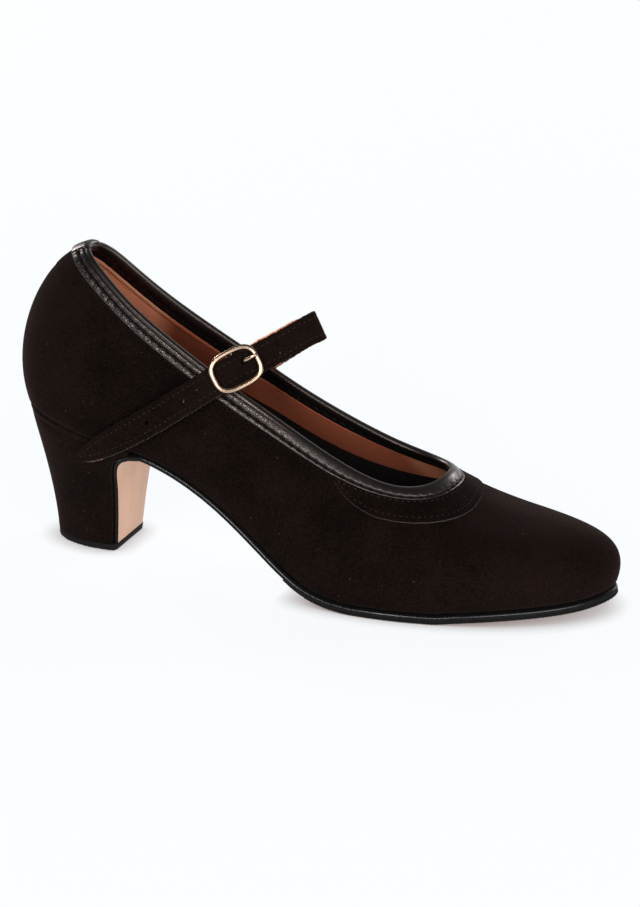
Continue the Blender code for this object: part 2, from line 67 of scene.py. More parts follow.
# Ribs of the upper, from the back centre round the outer side to the toe and home along the inner side.
# foot_x foot_y top_x top_y top_z foot_out foot_up top_out top_down
RIBS = [
    (6.2, 0.0, 29.6, 0.0, 119.6, 10.0, 24.0, 19.2, 6.0),
    (11.2, -14.3, 33.6, -8.2, 117.0, 8.2, 24.0, 16.4, 9.0),
    (24.0, -23.0, 42.5, -12.6, 110.0, 5.0, 22.0, 10.0, 14.0),
    (43.0, -26.0, 55.0, -15.6, 100.5, 3.5, 20.0, 6.0, 15.0),
    (66.0, -26.4, 72.0, -17.2, 89.6, 4.0, 16.0, 5.0, 14.0),
    (90.0, -28.6, 92.0, -18.0, 77.8, 4.5, 14.0, 5.0, 13.0),
    (115.0, -32.8, 112.0, -18.8, 67.2, 4.0, 15.0, 6.0, 14.0),
    (139.0, -37.0, 131.0, -20.0, 57.6, 3.5, 17.0, 8.0, 13.0),
    (163.0, -38.0, 148.0, -21.0, 50.4, 3.5, 19.0, 11.0, 12.0),
    (188.0, -33.8, 162.0, -19.8, 46.4, 5.0, 21.0, 14.0, 11.0),
    (212.0, -25.3, 172.0, -14.6, 45.6, 8.5, 24.0, 16.0, 14.0),
    (232.5, -12.4, 177.0, -7.5, 46.6, 11.4, 29.5, 17.0, 20.0),
    (243.1, 4.0, 178.5, 0.0, 47.4, 11.8, 32.5, 17.0, 22.5),
    (233.0, 20.9, 177.0, 7.5, 46.9, 11.4, 29.5, 17.0, 20.5),
    (213.5, 31.4, 172.0, 14.6, 46.0, 8.5, 24.0, 16.0, 15.0),
    (190.0, 35.8, 162.0, 19.8, 46.4, 5.0, 21.0, 14.0, 11.0),
    (165.0, 34.2, 148.0, 21.0, 49.8, 3.5, 19.0, 11.0, 12.0),
    (140.0, 27.8, 131.0, 20.0, 56.6, 5.0, 17.0, 8.0, 13.0),
    (116.0, 22.0, 112.0, 18.6, 65.8, 7.0, 16.0, 6.0, 14.0),
    (91.0, 19.8, 92.0, 17.6, 76.8, 8.0, 16.0, 5.0, 13.0),
    (66.0, 22.5, 72.0, 16.4, 88.0, 6.0, 16.0, 5.0, 14.0),
    (43.0, 25.0, 55.0, 14.6, 98.8, 4.0, 20.0, 6.0, 15.0),
    (24.0, 22.8, 42.5, 11.8, 109.0, 5.0, 22.0, 10.0, 14.0),
    (11.2, 14.3, 33.6, 7.8, 116.8, 8.2, 24.0, 16.4, 9.0),
]
TOE = 12

# Height of the featherline along the shoe
FEATHER = [
    (0.0, 57.2), (5.0, 56.5), (20.0, 54.3), (40.0, 49.9), (55.0, 47.4), (64.0, 45.6), (71.0, 43.4),
    (79.0, 40.3), (88.0, 36.0), (97.0, 30.9), (106.0, 25.0), (115.0, 18.7), (124.0, 12.4), (132.0, 7.8),
    (139.0, 5.4), (146.0, 4.0), (154.0, 3.5), (183.0, 3.5), (192.0, 4.4), (202.0, 5.3), (212.0, 6.1),
    (222.0, 6.8), (231.0, 7.6), (239.0, 9.0), (246.0, 11.0),
]

# Underside of the outsole down the heel breast: along, height, half width
BREAST = [
    (46.8, 3.0, 12.4), (47.6, 14.0, 13.8), (48.5, 26.0, 16.2), (49.2, 33.0, 18.8), (50.6, 37.6, 21.4),
    (53.2, 40.8, 23.8), (57.2, 42.8, 25.4),
]
SOLE_REACH = [(50.0, 0.2), (90.0, 0.5), (135.0, 1.5), (200.0, 1.6), (228.0, 1.3), (238.0, 0.9), (245.0, 0.2)]
SOLE_START = 3.85
RUBBER_START = 6.47
RUBBER_SKIVE = [(0.0, 0.25), (14.0, 1.0), (200.0, 1.0)]
TIP_CENTRE = 40.0
TIP_DEEP = 23.0
TIP_HALF = 14.8
TIP_FRONT = 46.8
HEEL_FRONT = 3.6
HEEL_CURVE = 1.4
HEEL_FLARE = 0.6

# Throat overlay: rib place and width, counted from a line under the binding's edge
OVERLAY_FROM = 6.9
OVERLAY = [
    (7.4, 2.0), (7.7, 7.0), (8.3, 10.2), (9.5, 10.6), (11.0, 9.4), (12.0, 7.9), (13.0, 7.2), (14.5, 9.4),
    (15.7, 10.2), (16.3, 7.0), (16.6, 2.0),
]

# Centre line of the strap and the way its suede faces, from the free tip on the heel to the sewn end
STRAP = [
    (32.2, -26.6, 39.2, -0.04, -0.96, 0.28),
    (48.6, -30.0, 49.5, 0.06, -0.92, 0.38),
    (67.0, -30.4, 61.6, 0.12, -0.91, 0.42),
    (88.4, -24.9, 77.0, 0.18, -0.90, 0.42),
    (99.2, -20.6, 84.3, 0.22, -0.91, 0.36),
    (112.5, -13.0, 92.0, 0.30, -0.88, 0.36),
    (121.0, -7.2, 97.4, 0.36, -0.84, 0.40),
    (124.0, -3.0, 98.8, 0.75, -0.25, 0.45),
    (122.8, 1.4, 97.8, 0.60, 0.74, 0.28),
    (111.6, 11.2, 89.2, 0.48, 0.84, 0.24),
    (98.0, 20.2, 78.2, 0.22, 0.94, 0.26),
    (86.0, 23.6, 68.8, 0.05, 0.96, 0.28),
    (77.0, 25.3, 61.6, 0.00, 0.97, 0.24),
]
BUCKLE_AT = 4.0
PRONG_SIDE = -1.1
TAB_END = 2.5
HOLES_AT = [2.58, 2.0]

# Strap row and share of its width there: a long point at the free tip
STRAP_TIP = [
    (0.06, 0.06), (0.3, 0.34), (0.55, 0.55), (0.8, 0.74), (1.05, 0.86), (1.5, 0.95), (2.2, 1.0), (13.0, 1.0),
]

# Soft troughs (positive) and swells (negative) in the suede: rib place, share of the way up, half length in
# ribs, half width in shares, depth in millimetres
CREASES = [
    (4.6, 0.42, 0.55, 0.22, 0.45),
    (5.9, 0.55, 0.50, 0.16, 0.35),
    (7.6, 0.24, 0.22, 0.34, 0.30),
    (8.5, 0.30, 0.18, 0.30, 0.24),
    (16.0, 0.28, 0.20, 0.30, 0.26),
    (19.2, 0.45, 0.60, 0.20, 0.40),
    (2.2, 0.62, 0.60, 0.18, -0.30),
    (22.0, 0.60, 0.60, 0.18, -0.30),
    (10.9, 0.46, 0.90, 0.10, -0.18),
    (13.1, 0.46, 0.90, 0.10, -0.18),
]

# Painted sheen: where the suede's nap is painted paler for the sheen it shows at grazing angles at the heel's
# back and
# the toe: rib place, share of the way up, half length in ribs, half width in shares, amount
PAINTED_SHEEN = [(0.7, 0.55, 1.1, 0.5, 0.9), (11.2, 0.35, 1.6, 0.5, 0.6)]

# Section of the binding on its outer face, from its lower edge to its crest. Rear: a stitched groove between
# two strips, and a rolled crest. Front: a broad strip over a groove close to the edge. For each, down from
# the topline and out from the suede; then how much of a stitch's pull is felt there.
BINDING_OUTSIDE = [
    (6.90, 0.04, 5.75, 0.04, 0.0), (7.05, 0.32, 5.95, 0.28, 0.1), (7.00, 0.62, 5.90, 0.50, 0.1),
    (6.85, 0.80, 5.72, 0.66, 0.1), (6.40, 0.89, 5.45, 0.73, 0.1), (5.60, 0.93, 5.15, 0.75, 0.2),
    (4.90, 0.92, 4.95, 0.71, 0.4), (4.50, 0.80, 4.78, 0.55, 0.8), (4.15, 0.44, 4.62, 0.34, 1.0),
    (3.85, 0.16, 4.48, 0.24, 1.0), (3.58, 0.44, 4.32, 0.44, 1.0), (3.28, 0.78, 4.10, 0.72, 0.6),
    (2.90, 0.88, 3.75, 0.86, 0.3), (2.40, 0.91, 3.20, 0.92, 0.2), (1.95, 0.89, 2.60, 0.95, 0.1),
    (1.60, 0.80, 2.00, 0.95, 0.0), (1.34, 0.56, 1.50, 0.93, 0.0), (1.12, 0.34, 1.10, 0.90, 0.0),
    (0.92, 0.34, 0.80, 0.86, 0.0), (0.72, 0.50, 0.52, 0.79, 0.0), (0.44, 0.60, 0.25, 0.69, 0.0),
    (0.05, 0.58, -0.02, 0.58, 0.0), (-0.38, 0.42, -0.38, 0.38, 0.0), (-0.76, 0.12, -0.76, 0.10, 0.0),
    (-1.02, -0.32, -1.02, -0.32, 0.0), (-1.10, -0.80, -1.10, -0.80, 0.0),
]

# Rows of that table: the bottom of the groove, and where the rolled crest begins
GROOVE_ROW = 9
CREST_ROW = 16

# How far down the groove and the lower edge lie, at the rear and at the front
GROOVE = (3.85, 4.48)
LOWER_EDGE = (7.0, 5.95)

# Section from the crest down the inner face and back up against the wall: down, out, pull
BINDING_INSIDE = [
    (-1.02, -1.20, 0.0), (-0.80, -1.56, 0.0), (-0.45, -1.84, 0.0), (0.00, -2.02, 0.0), (0.80, -2.18, 0.0),
    (2.00, -2.32, 0.1), (3.40, -2.34, 0.5), (3.95, -2.28, 0.8), (4.50, -2.36, 0.5), (5.60, -2.46, 0.1),
    (6.40, -2.44, 0.1), (6.80, -2.26, 0.1), (6.92, -2.00, 0.0), (6.80, -1.70, 0.0), (3.40, -1.70, 0.0),
    (-0.25, -1.70, 0.0), (-0.25, 0.04, 0.0), (3.40, 0.04, 0.0),
]

# Ribs away from the back and, there, the binding's spread down the suede as a share of its section; then its
# turn from the rear section (0) to the front one (1)
BINDING_SPREAD = [
    (0.0, 0.93), (2.5, 0.91), (4.0, 0.96), (5.5, 1.10), (7.5, 1.20), (9.0, 1.10), (10.5, 1.0), (12.0, 0.98),
]
BINDING_TURN = [(0.0, 0.0), (3.6, 0.0), (5.5, 0.5), (7.4, 1.0), (12.0, 1.0)]


def linear(code):
    """An sRGB hex colour as linear red, green and blue."""
    parts = [int(code[i:i + 2], 16) / 255 for i in (0, 2, 4)]
    return tuple(c / 12.92 if c <= 0.04045 else ((c + 0.055) / 1.055) ** 2.4 for c in parts)


def length(name, description, millimetres):
    """A length that a user may change."""
    return FloatProperty(
        name=name, description=description, default=millimetres * MM, unit="LENGTH", precision=5)


def factor(name, description, default):
    """A plain number that a user may change."""
    return FloatProperty(name=name, description=description, default=default, min=0, max=4)


def wattage(name, description, watts):
    """A light's power that a user may change."""
    return FloatProperty(name=name, description=description, default=watts, unit="POWER")


def colour(name, description, code):
    """A colour that a user may change."""
    return FloatVectorProperty(
        name=name, description=description, default=linear(code), subtype="COLOR", min=0, max=1)


class UpperSizes(bpy.types.PropertyGroup):
    wall: length("Wall", "Suede and lining together", 1.6)
    fold: length("Turned edge", "How far the suede's turned top edge reaches below the topline", 16.4)
    fold_step: length("Turned edge step", "How much the turned edge stands out", 0.22)
    tape: length("Lining edge", "Width of the lining's folded edge that shows under the binding", 2.3)
    band: length("Lining band", "How far the cognac band reaches below the topline ahead of the heel", 19.6)
    crease: factor("Creases", "Depth of the soft creases", 1.0)


class BindingSizes(bpy.types.PropertyGroup):
    pitch: length("Stitch pitch", "Distance between the stitches in the groove", 3.9)
    pull: length("Stitch pull", "How far each stitch pulls the groove in", 0.45)
    join: length("Back join", "Half the length of the lapped join at the back", 6.0)


class StrapSizes(bpy.types.PropertyGroup):
    wide: length("Strap width", "Across the strap", 11.2)
    thick: length("Strap thickness", "Suede and lining together", 2.4)
    margin: length("Stitch margin", "From the strap's edge to its stitches", 2.2)
    hole: length("Hole", "Across a spare hole", 2.0)
    pitch: length("Stitch pitch", "Distance between stitches on the strap and the throat overlay", 2.3)


class SoleSizes(bpy.types.PropertyGroup):
    leather: length("Outsole", "Thickness of the leather outsole", 2.0)
    rubber: length("Half sole", "Thickness of the rubber half sole", 0.9)
    tip: length("Heel tip", "Thickness of the heel tip", 2.7)
    insole: length("Insole", "Thickness of the insole and its sock", 2.0)
    rib: length("Rib pitch", "Distance between the ribs round the half sole's edge", 0.95)


class BuckleSizes(bpy.types.PropertyGroup):
    long: length("Buckle length", "Along the strap", 20.0)
    wide: length("Buckle width", "Across the strap", 15.6)
    wire: length("Buckle wire", "Thickness of the frame", 1.7)
    prong: length("Prong", "Thickness of the prong", 1.5)
    bar: length("Bar", "Thickness of the centre bar", 1.6)
    tab_wide: length("Loop width", "Width of the leather loop behind the buckle", 9.0)
    tab_thick: length("Loop thickness", "Thickness of that leather", 0.9)


class Colours(bpy.types.PropertyGroup):
    suede_deep: colour("Suede, nap down", "Suede brushed away from the light", "0d0806")
    suede_lit: colour("Suede, nap up", "Suede brushed towards the light", "1c1310")
    cut: colour("Cut suede", "Raw edges of the suede", "5a514d")
    nappa: colour("Nappa", "Binding and loop", "090707")
    lining: colour("Lining", "Cognac lining leather", "f2a07b")
    # Painted shadow: the lining ahead of the heel is painted this deeper cognac for the shadow that the strap
    # and the near collar cast on it
    lining_in_shadow: colour("Lining, forward", "Cognac lining ahead of the heel", "86462f")
    lining_edge: colour("Lining edge", "Folded edge of the lining", "cf8f6c")
    sock: colour("Sock", "Sock and lower lining", "120d0b")
    leather: colour("Sole leather", "Natural underside and breast", "cea78d")
    ink: colour("Edge ink", "Inked and burnished edge of the sole", "0a0808")
    rubber: colour("Rubber", "Half sole and heel tip", "100e0e")
    gold: colour("Pale gold", "Buckle plating", "c2a690")
    thread: colour("Thread", "Sewing thread", "0f0b0a")
    pale_thread: colour("Pale thread", "Worn thread on the strap and the throat", "2a221e")
    lint: colour("Lint", "Pale fibres caught in the nap", "6d5f58")


class StageSettings(bpy.types.PropertyGroup):
    lens: FloatProperty(name="Lens", description="Focal length of the camera", default=134.157, unit="CAMERA")
    key: wattage("Key light", "Small soft box on the outer side", 11.0)
    side: wattage("Side light", "Large soft box by the toe", 17.0)
    rim: wattage("Rim light", "Soft box behind the heel", 12.0)
    back: wattage("Back light", "Small soft box behind the toe", 8.0)
    drop: wattage("Backdrop", "White wall behind the shoe", 9.0)
    room: factor("Room light", "Light from the room all round", 0.12)
    glow: factor("Floor glow", "Light from below through the floor", 0.94)
    floor: colour("Floor", "White paper under the shoe", "58595a")


class ShoeSettings(bpy.types.PropertyGroup):
    upper: PointerProperty(type=UpperSizes)
    binding: PointerProperty(type=BindingSizes)
    strap: PointerProperty(type=StrapSizes)
    sole: PointerProperty(type=SoleSizes)
    buckle: PointerProperty(type=BuckleSizes)
    colours: PointerProperty(type=Colours)
    stage: PointerProperty(type=StageSettings)


def closed_spline(rows, place):
    """Rows of a table as a smooth closed curve, read at each place, where one step is one row."""
    rows = np.asarray(rows, float)
    count = len(rows)
    ring = 4 * np.eye(count) + np.roll(np.eye(count), 1, 0) + np.roll(np.eye(count), -1, 0)
    bend = np.linalg.solve(ring, 6 * (np.roll(rows, 1, 0) - 2 * rows + np.roll(rows, -1, 0)))
    start = np.floor(place).astype(int)
    a, b = start % count, (start + 1) % count
    t = (place - start)[..., None]
    return (1 - t) * rows[a] + t * rows[b] - t * (1 - t) / 6 * ((2 - t) * bend[a] + (1 + t) * bend[b])


def open_spline(rows, place):
    """Rows of a table as a smooth open curve with straight ends."""
    rows = np.asarray(rows, float)
    count = len(rows)
    band = 4 * np.eye(count) + np.eye(count, k=1) + np.eye(count, k=-1)
    band[0], band[-1] = np.eye(count)[0], np.eye(count)[-1]
    pull = np.zeros_like(rows)
    pull[1:-1] = 6 * (rows[:-2] - 2 * rows[1:-1] + rows[2:])
    bend = np.linalg.solve(band, pull)
    a = np.clip(np.floor(place).astype(int), 0, count - 2)
    t = (place - a)[..., None]
    return (1 - t) * rows[a] + t * rows[a + 1] - t * (1 - t) / 6 * ((2 - t) * bend[a] + (1 + t) * bend[a + 1])


def profile(table, x):
    """A two-column table as a smooth curve that never overshoots its rows."""
    xs, ys = np.asarray(table, float).T
    run, step = np.diff(xs), np.diff(ys)
    slope = step / run
    both = slope[:-1] * slope[1:]
    mean = np.where(both > 0, 2 * both / (slope[:-1] + slope[1:] + 1e-12), 0)
    tangent = np.concatenate([slope[:1], mean, slope[-1:]])
    i = np.clip(np.searchsorted(xs, x) - 1, 0, len(run) - 1)
    t = (x - xs[i]) / run[i]
    rise = ys[i] + step[i] * t * t * (3 - 2 * t)
    return rise + run[i] * t * (1 - t) * (tangent[i] * (1 - t) - tangent[i + 1] * t)


def unit(vectors):
    """The same ways at length 1."""
    return vectors / np.linalg.norm(vectors, axis=-1, keepdims=True)


def ease(x):
    """0 below 0, 1 above 1, smooth between."""
    x = np.clip(x, 0, 1)
    return x * x * (3 - 2 * x)


def wobble(x, seed):
    """A smooth irregular wave between about -1 and 1."""
    draw = np.random.default_rng(seed)
    waves = zip(draw.uniform(0.4, 3.2, 9), draw.uniform(0, 2 * math.pi, 9))
    return sum(np.sin(x * rate + turn) for rate, turn in waves) / 4


def feather(place, out=0.0):
    """The featherline round the foot of the upper, moved out in plan by out, and the way out."""
    plan = [row[:2] for row in RIBS]
    foot = closed_spline(plan, place)
    ahead = unit(closed_spline(plan, place + 0.01) - foot)
    outward = np.stack([ahead[..., 1], -ahead[..., 0]], -1)
    moved = foot + outward * np.asarray(out)[..., None]
    return np.concatenate([moved, profile(FEATHER, foot[..., 0])[..., None]], -1), outward


def skin(place, share):
    """The suede's outer face: place runs round the shoe by ribs, share from featherline to topline."""
    rib = closed_spline(RIBS, place)
    foot, outward = feather(place)
    top = rib[..., 2:5]
    fan = unit(foot[..., :2] - top[..., :2])
    low = foot + np.concatenate([outward * rib[..., 5:6], rib[..., 6:7]], -1)
    high = top + np.concatenate([fan * rib[..., 7:8], -rib[..., 8:9]], -1)
    t = np.asarray(share)[..., None]
    return (1 - t) ** 3 * foot + 3 * t * (1 - t) ** 2 * low + 3 * t * t * (1 - t) * high + t ** 3 * top


def skin_out(place, share, out):
    """The suede's outer face moved out along its normal."""
    step = 1e-3
    inside = np.clip(share, step, 1 - step)
    round_way = skin(place + step, inside) - skin(place - step, inside)
    up_way = skin(place, inside + step) - skin(place, inside - step)
    return skin(place, share) + unit(np.cross(round_way, up_way)) * np.asarray(out)[..., None]


def rib_lengths(place, share):
    """Distance from each share of each rib up to the topline."""
    rib = skin(place[:, None], share[None, :])
    step = np.linalg.norm(np.diff(rib, axis=1), axis=-1)
    return np.concatenate([np.cumsum(step[:, ::-1], 1)[:, ::-1], np.zeros((len(place), 1))], 1)


def rim(place, down, out):
    """Points down from the topline along each rib and out from the suede. A negative down stands above it."""
    down, out = np.broadcast_arrays(np.atleast_2d(down), np.atleast_2d(out))
    down = np.broadcast_to(down, (len(place), down.shape[1]))
    share = np.linspace(0, 1, 241)
    left = rib_lengths(place, share)
    shares = np.array([np.interp(-np.maximum(d, 0), -row, share) for d, row in zip(down, left)])
    way = unit(skin(place, 1 + 0 * place) - skin(place, 0.98 + 0 * place))
    return skin_out(place[:, None], shares, out) + way[:, None, :] * np.maximum(-down, 0)[..., None]


def from_back(place):
    """Ribs away from the back centre, the nearer way round."""
    return np.minimum(place % len(RIBS), len(RIBS) - place % len(RIBS))


def binding_blend(place):
    """The binding's spread and its turn from the rear to the front section."""
    away = from_back(place)
    return profile(BINDING_SPREAD, away)[:, None], profile(BINDING_TURN, away)[:, None]


def between(ends, turn):
    """A measure on its way from its rear to its front value."""
    return ends[0] + (ends[1] - ends[0]) * turn


def binding_edge(place, below=0.0):
    """How far down the suede the binding's lower edge lies, and a little below it."""
    spread, turn = binding_blend(place)
    return between(LOWER_EDGE, turn) * spread + below


def seat_lift(x):
    """Unit way up through the sole under the featherline."""
    slope = profile(FEATHER, x + 0.5) - profile(FEATHER, x - 0.5)
    return unit(np.stack([-slope, 0 * slope, 1 + 0 * slope], -1))


def half_row(start, count):
    """Places from a rib on the outer side round the toe to its inner partner, closer at the toe."""
    s = np.linspace(-1, 1, 2 * count)
    return TOE + (TOE - start) * s * (0.55 + 0.45 * np.abs(s))


def breast(height):
    """Outer edge of the leather down the breast, at a height through it from its underside."""
    row = np.linspace(0, len(BREAST) - 1, 70)
    along, rise, half = [profile(list(enumerate(column)), row) for column in zip(*BREAST)]
    turn = unit(np.stack([-np.gradient(rise), 0 * row, np.gradient(along)], -1))
    return np.stack([along, -half, rise], -1) + turn * height


def outsole_ring(height, inset, thick):
    """Edge of the outsole: up the breast, round the toe and down the breast."""
    place = half_row(SOLE_START, 170)
    plan, _ = feather(place)
    edge, _ = feather(place, profile(SOLE_REACH, plan[:, 0]) - inset)
    edge = edge + seat_lift(plan[:, 0]) * (height - thick - GAP)
    outer = breast(height)
    outer[:, 1] += inset
    return np.concatenate([outer[:-1], edge, (outer * [1, -1, 1])[-2::-1]])


def rubber_ring(depth, inset, thick, count=150):
    """Edge of the half sole at a depth below its top face; the rear is skived thin."""
    place = half_row(RUBBER_START, count)
    plan, _ = feather(place)
    edge, _ = feather(place, profile(SOLE_REACH, plan[:, 0]) - inset)
    skive = profile(RUBBER_SKIVE, plan[:, 0] - plan[:, 0].min())
    return edge - seat_lift(plan[:, 0]) * (GAP + depth * skive + thick)[:, None]


def heel_ring(level, inset, sole, tip):
    """Edge of the heel block from the tip (level 0) to the heel seat (level 1)."""
    s = np.linspace(-1, 1, 180)
    seat, _ = feather(HEEL_FRONT * s)
    seat[:, 2] -= GAP
    turn = np.abs(s) * math.acos((TIP_CENTRE - TIP_FRONT) / TIP_DEEP)
    foot = np.stack([TIP_CENTRE - TIP_DEEP * np.cos(turn), -np.sign(s) * TIP_HALF * np.sin(turn), 0 * s], -1)
    foot[:, 2] = tip + 0.1
    mix = level ** (HEEL_CURVE + HEEL_FLARE * np.abs(s) ** 6)
    ring = foot + (seat - foot) * np.stack([mix, mix, level + 0 * s], -1)
    rear, corner = ring[:, 0].min(), ring[0, 0]
    back = breast(sole + GAP)
    front = np.interp(ring[0, 2], back[:, 2], back[:, 0])
    ring[:, 0] = rear + (ring[:, 0] - rear) * (front - rear) / (corner - rear)
    along = unit(np.gradient(ring, axis=0))
    ring[:, :2] += np.stack([along[:, 1], -along[:, 0]], -1) * -inset
    return ring


def strap_frame(place):
    """Centre, way along, way across and way out of the strap."""
    row = open_spline(STRAP, place)
    along = unit(open_spline(STRAP, place + 0.01)[:, :3] - open_spline(STRAP, place - 0.01)[:, :3])
    across = unit(np.cross(along, row[:, 3:]))
    return row[:, :3], along, across, np.cross(across, along)


def strap_half(place, wide):
    """Half the strap's width, drawn in to the point of its free tip."""
    return wide / 2 * profile(STRAP_TIP, place)


def strap_point(place):
    """Centre, way along, way across and way out of the strap at one place."""
    return [values[0] for values in strap_frame(np.array([place]))]


def at_buckle(a, b, n):
    """A point by the buckle: along and across the strap, and out from it."""
    centre, along, across, out = strap_point(BUCKLE_AT)
    return centre + along * a + across * b + out * n


def add_node(tree, kind, sets=None, ins=None):
    """Adds a node: sets are its settings, ins its inputs, each a value or a socket to link."""
    node = tree.nodes.new(kind)
    for name, value in (sets or {}).items():
        setattr(node, name, value)
    for name, value in (ins or {}).items():
        if isinstance(value, bpy.types.NodeSocket):
            tree.links.new(value, node.inputs[name])
        else:
            node.inputs[name].default_value = value
    return node


def opaque(tone, share=1.0):
    """A colour with its alpha, made a share lighter or darker."""
    return (*(share * c for c in tone), 1)


def noise(tree, here, grain, detail, rough=0.5):
    """Cloudy noise with features about grain metres across."""
    return add_node(tree, "ShaderNodeTexNoise", ins={
        "Vector": here, "Scale": 1 / grain, "Detail": detail, "Roughness": rough}).outputs[0]


def span(tree, value, low, high, start=0.0, end=1.0):
    """A value taken from one range to another and held there."""
    return add_node(tree, "ShaderNodeMapRange", ins={
        0: value, "From Min": low, "From Max": high, "To Min": start, "To Max": end}).outputs[0]


def blend(tree, share, first, second):
    """A share of the way from one colour to another."""
    return add_node(tree, "ShaderNodeMix", {"data_type": "RGBA"}, {0: share, 6: first, 7: second}).outputs[2]


def work_out(tree, operation, *values, clamp=False):
    """A sum in a material."""
    sets = {"operation": operation, "use_clamp": clamp}
    return add_node(tree, "ShaderNodeMath", sets, dict(enumerate(values))).outputs[0]


def painted(tree, layer):
    """A value that the piece carries on its points."""
    return add_node(tree, "ShaderNodeAttribute", {"attribute_name": layer}).outputs["Fac"]


def relief(tree, shader, height, strength, deep):
    """Raises a finish by its height, deep metres at full strength."""
    bump = add_node(tree, "ShaderNodeBump", ins={"Strength": strength, "Distance": deep, "Height": height})
    tree.links.new(bump.outputs[0], shader.inputs["Normal"])
    return bump.outputs[0]


def start_finish(name, **sockets):
    """A new material with its shader set, and its piece's own coordinates."""
    coat = bpy.data.materials.new(name)
    coat.use_nodes = True
    tree = coat.node_tree
    shader = tree.nodes["Principled BSDF"]
    for socket, value in sockets.items():
        shader.inputs[socket.replace("_", " ")].default_value = value
    return coat, tree, shader, add_node(tree, "ShaderNodeTexCoord").outputs["Object"]


def suede_finish(name, colours, lint, lift):
    """Napped calf suede: no gloss, a bloom at grazing angles, cloudy patches, paler patches of painted sheen
    where the piece carries them, and a little pale lint.
    """
    coat, tree, shader, here = start_finish(
        name, Roughness=1.0, Specular_IOR_Level=0.02, Sheen_Weight=0.045, Sheen_Roughness=0.45,
        Sheen_Tint=(1.0, 0.70, 0.62, 1))
    patches = span(tree, noise(tree, here, 0.021, 5, 0.62), 0.34, 0.68, 0.0, 0.7)
    nap = noise(tree, here, 0.0008, 3, 0.7)
    raised = work_out(tree, "MULTIPLY_ADD", nap, 3.2, patches)
    # Painted sheen: the nap is painted paler where the piece carries it
    raised = work_out(tree, "ADD", raised, painted(tree, "brushed"))
    level = work_out(tree, "SUBTRACT", raised, 1.6 - lift, clamp=True)
    tone = blend(tree, level, opaque(colours.suede_deep), opaque(colours.suede_lit))
    cells = add_node(tree, "ShaderNodeTexVoronoi", ins={"Vector": here, "Scale": 1 / 0.0042}).outputs
    dot = span(tree, cells["Distance"], 0.075, 0.035, 0.0, lint)
    chance = add_node(tree, "ShaderNodeSeparateColor", ins={0: cells["Color"]}).outputs[0]
    flecks = work_out(tree, "MULTIPLY", dot, work_out(tree, "GREATER_THAN", chance, 0.55))
    tree.links.new(blend(tree, flecks, tone, opaque(colours.lint)), shader.inputs["Base Color"])
    relief(tree, shader, nap, 0.55, 0.0004)
    return coat


def cut_finish(colours):
    """Raw cut edge of the suede: its paler flesh fibres, ragged at about a third of a millimetre."""
    coat, tree, shader, here = start_finish("cut suede edge", Roughness=1.0, Specular_IOR_Level=0.05)
    fibre = noise(tree, here, 0.0007, 4)
    tone = blend(tree, fibre, opaque(colours.suede_lit), opaque(colours.cut))
    tree.links.new(tone, shader.inputs["Base Color"])
    relief(tree, shader, fibre, 0.6, 0.0003)
    return coat


def nappa_finish(colours):
    """Glazed black nappa: satin and nearly smooth. Where it is worn it is crackled into glossy pebbles of
    about 1.2 mm with dull cracks between."""
    coat, tree, shader, here = start_finish(
        "glazed nappa", Specular_IOR_Level=0.6, Coat_Weight=0.3, Coat_Roughness=0.2,
        Specular_Tint=(1.0, 0.81, 0.74, 1), Coat_Tint=(1.0, 0.90, 0.84, 1), Base_Color=opaque(colours.nappa))
    cells = add_node(tree, "ShaderNodeTexVoronoi", {"feature": "DISTANCE_TO_EDGE"}, {
        "Vector": here, "Scale": 1 / 0.0012})
    pebble = span(tree, cells.outputs["Distance"], 0.0, 0.14)
    height = work_out(tree, "MULTIPLY_ADD", noise(tree, here, 0.0012, 2), 2.0, pebble)
    crackle = painted(tree, "crackle")
    bump = relief(tree, shader, height, crackle, 0.0001)
    tree.links.new(bump, shader.inputs["Coat Normal"])
    worn = span(tree, pebble, 0.0, 1.0, 0.6, 0.19)
    gloss = add_node(tree, "ShaderNodeMix", ins={0: crackle, 2: 0.40, 3: worn}).outputs[0]
    tree.links.new(gloss, shader.inputs["Roughness"])
    return coat


def lining_finish(name, tone, rough, ahead=None, below=None):
    """Drum-dyed lining leather: cloudy dyeing and a fine hair-cell grain. Forward of the heel a painted
    shadow of the strap and the near collar deepens its colour, and below its band it is dark."""
    coat, tree, shader, here = start_finish(name, Specular_IOR_Level=0.35, Roughness=rough)
    shade = blend(tree, noise(tree, here, 0.016, 6, 0.6), opaque(tone, 0.72), opaque(tone, 1.28))
    # Painted shadow of the strap and the near collar ahead of the heel, then the dark lower lining below the
    # band
    for layer, paint, low, high in (("ahead_of_heel", ahead, 0.0, 1.0), ("below_band", below, -0.1, 0.1)):
        if paint:
            shade = blend(tree, span(tree, painted(tree, layer), low, high), shade, opaque(paint))
    tree.links.new(shade, shader.inputs["Base Color"])
    relief(tree, shader, noise(tree, here, 0.0009, 4), 0.3, 0.0002)
    return coat


def sole_leather_finish(colours):
    """Vegetable-tanned sole leather: pale flesh tan, polished by hand, with faint streaks down its length."""
    coat, tree, shader, here = start_finish("natural sole leather", Roughness=0.5, Specular_IOR_Level=0.4)
    stretch = add_node(tree, "ShaderNodeMapping", ins={"Vector": here, "Scale": (0.25, 1.0, 0.12)})
    streak = noise(tree, stretch.outputs[0], 0.004, 5, 0.6)
    tone = blend(tree, streak, opaque(colours.leather, 0.84), opaque(colours.leather, 1.12))
    tree.links.new(tone, shader.inputs["Base Color"])
    relief(tree, shader, noise(tree, here, 0.0008, 3), 0.2, 0.00015)
    return coat


def ink_finish(name, colours, dull, bright):
    """Inked sole edge: black wax on the uneven trimmed leather, between a dull and a bright gloss."""
    coat, tree, shader, here = start_finish(
        name, Specular_IOR_Level=0.2 / dull, Base_Color=opaque(colours.ink))
    trim = noise(tree, here, 0.0022, 5, 0.65)
    tree.links.new(span(tree, trim, 0.3, 0.7, bright, dull), shader.inputs["Roughness"])
    relief(tree, shader, trim, 0.35, 0.0003)
    return coat


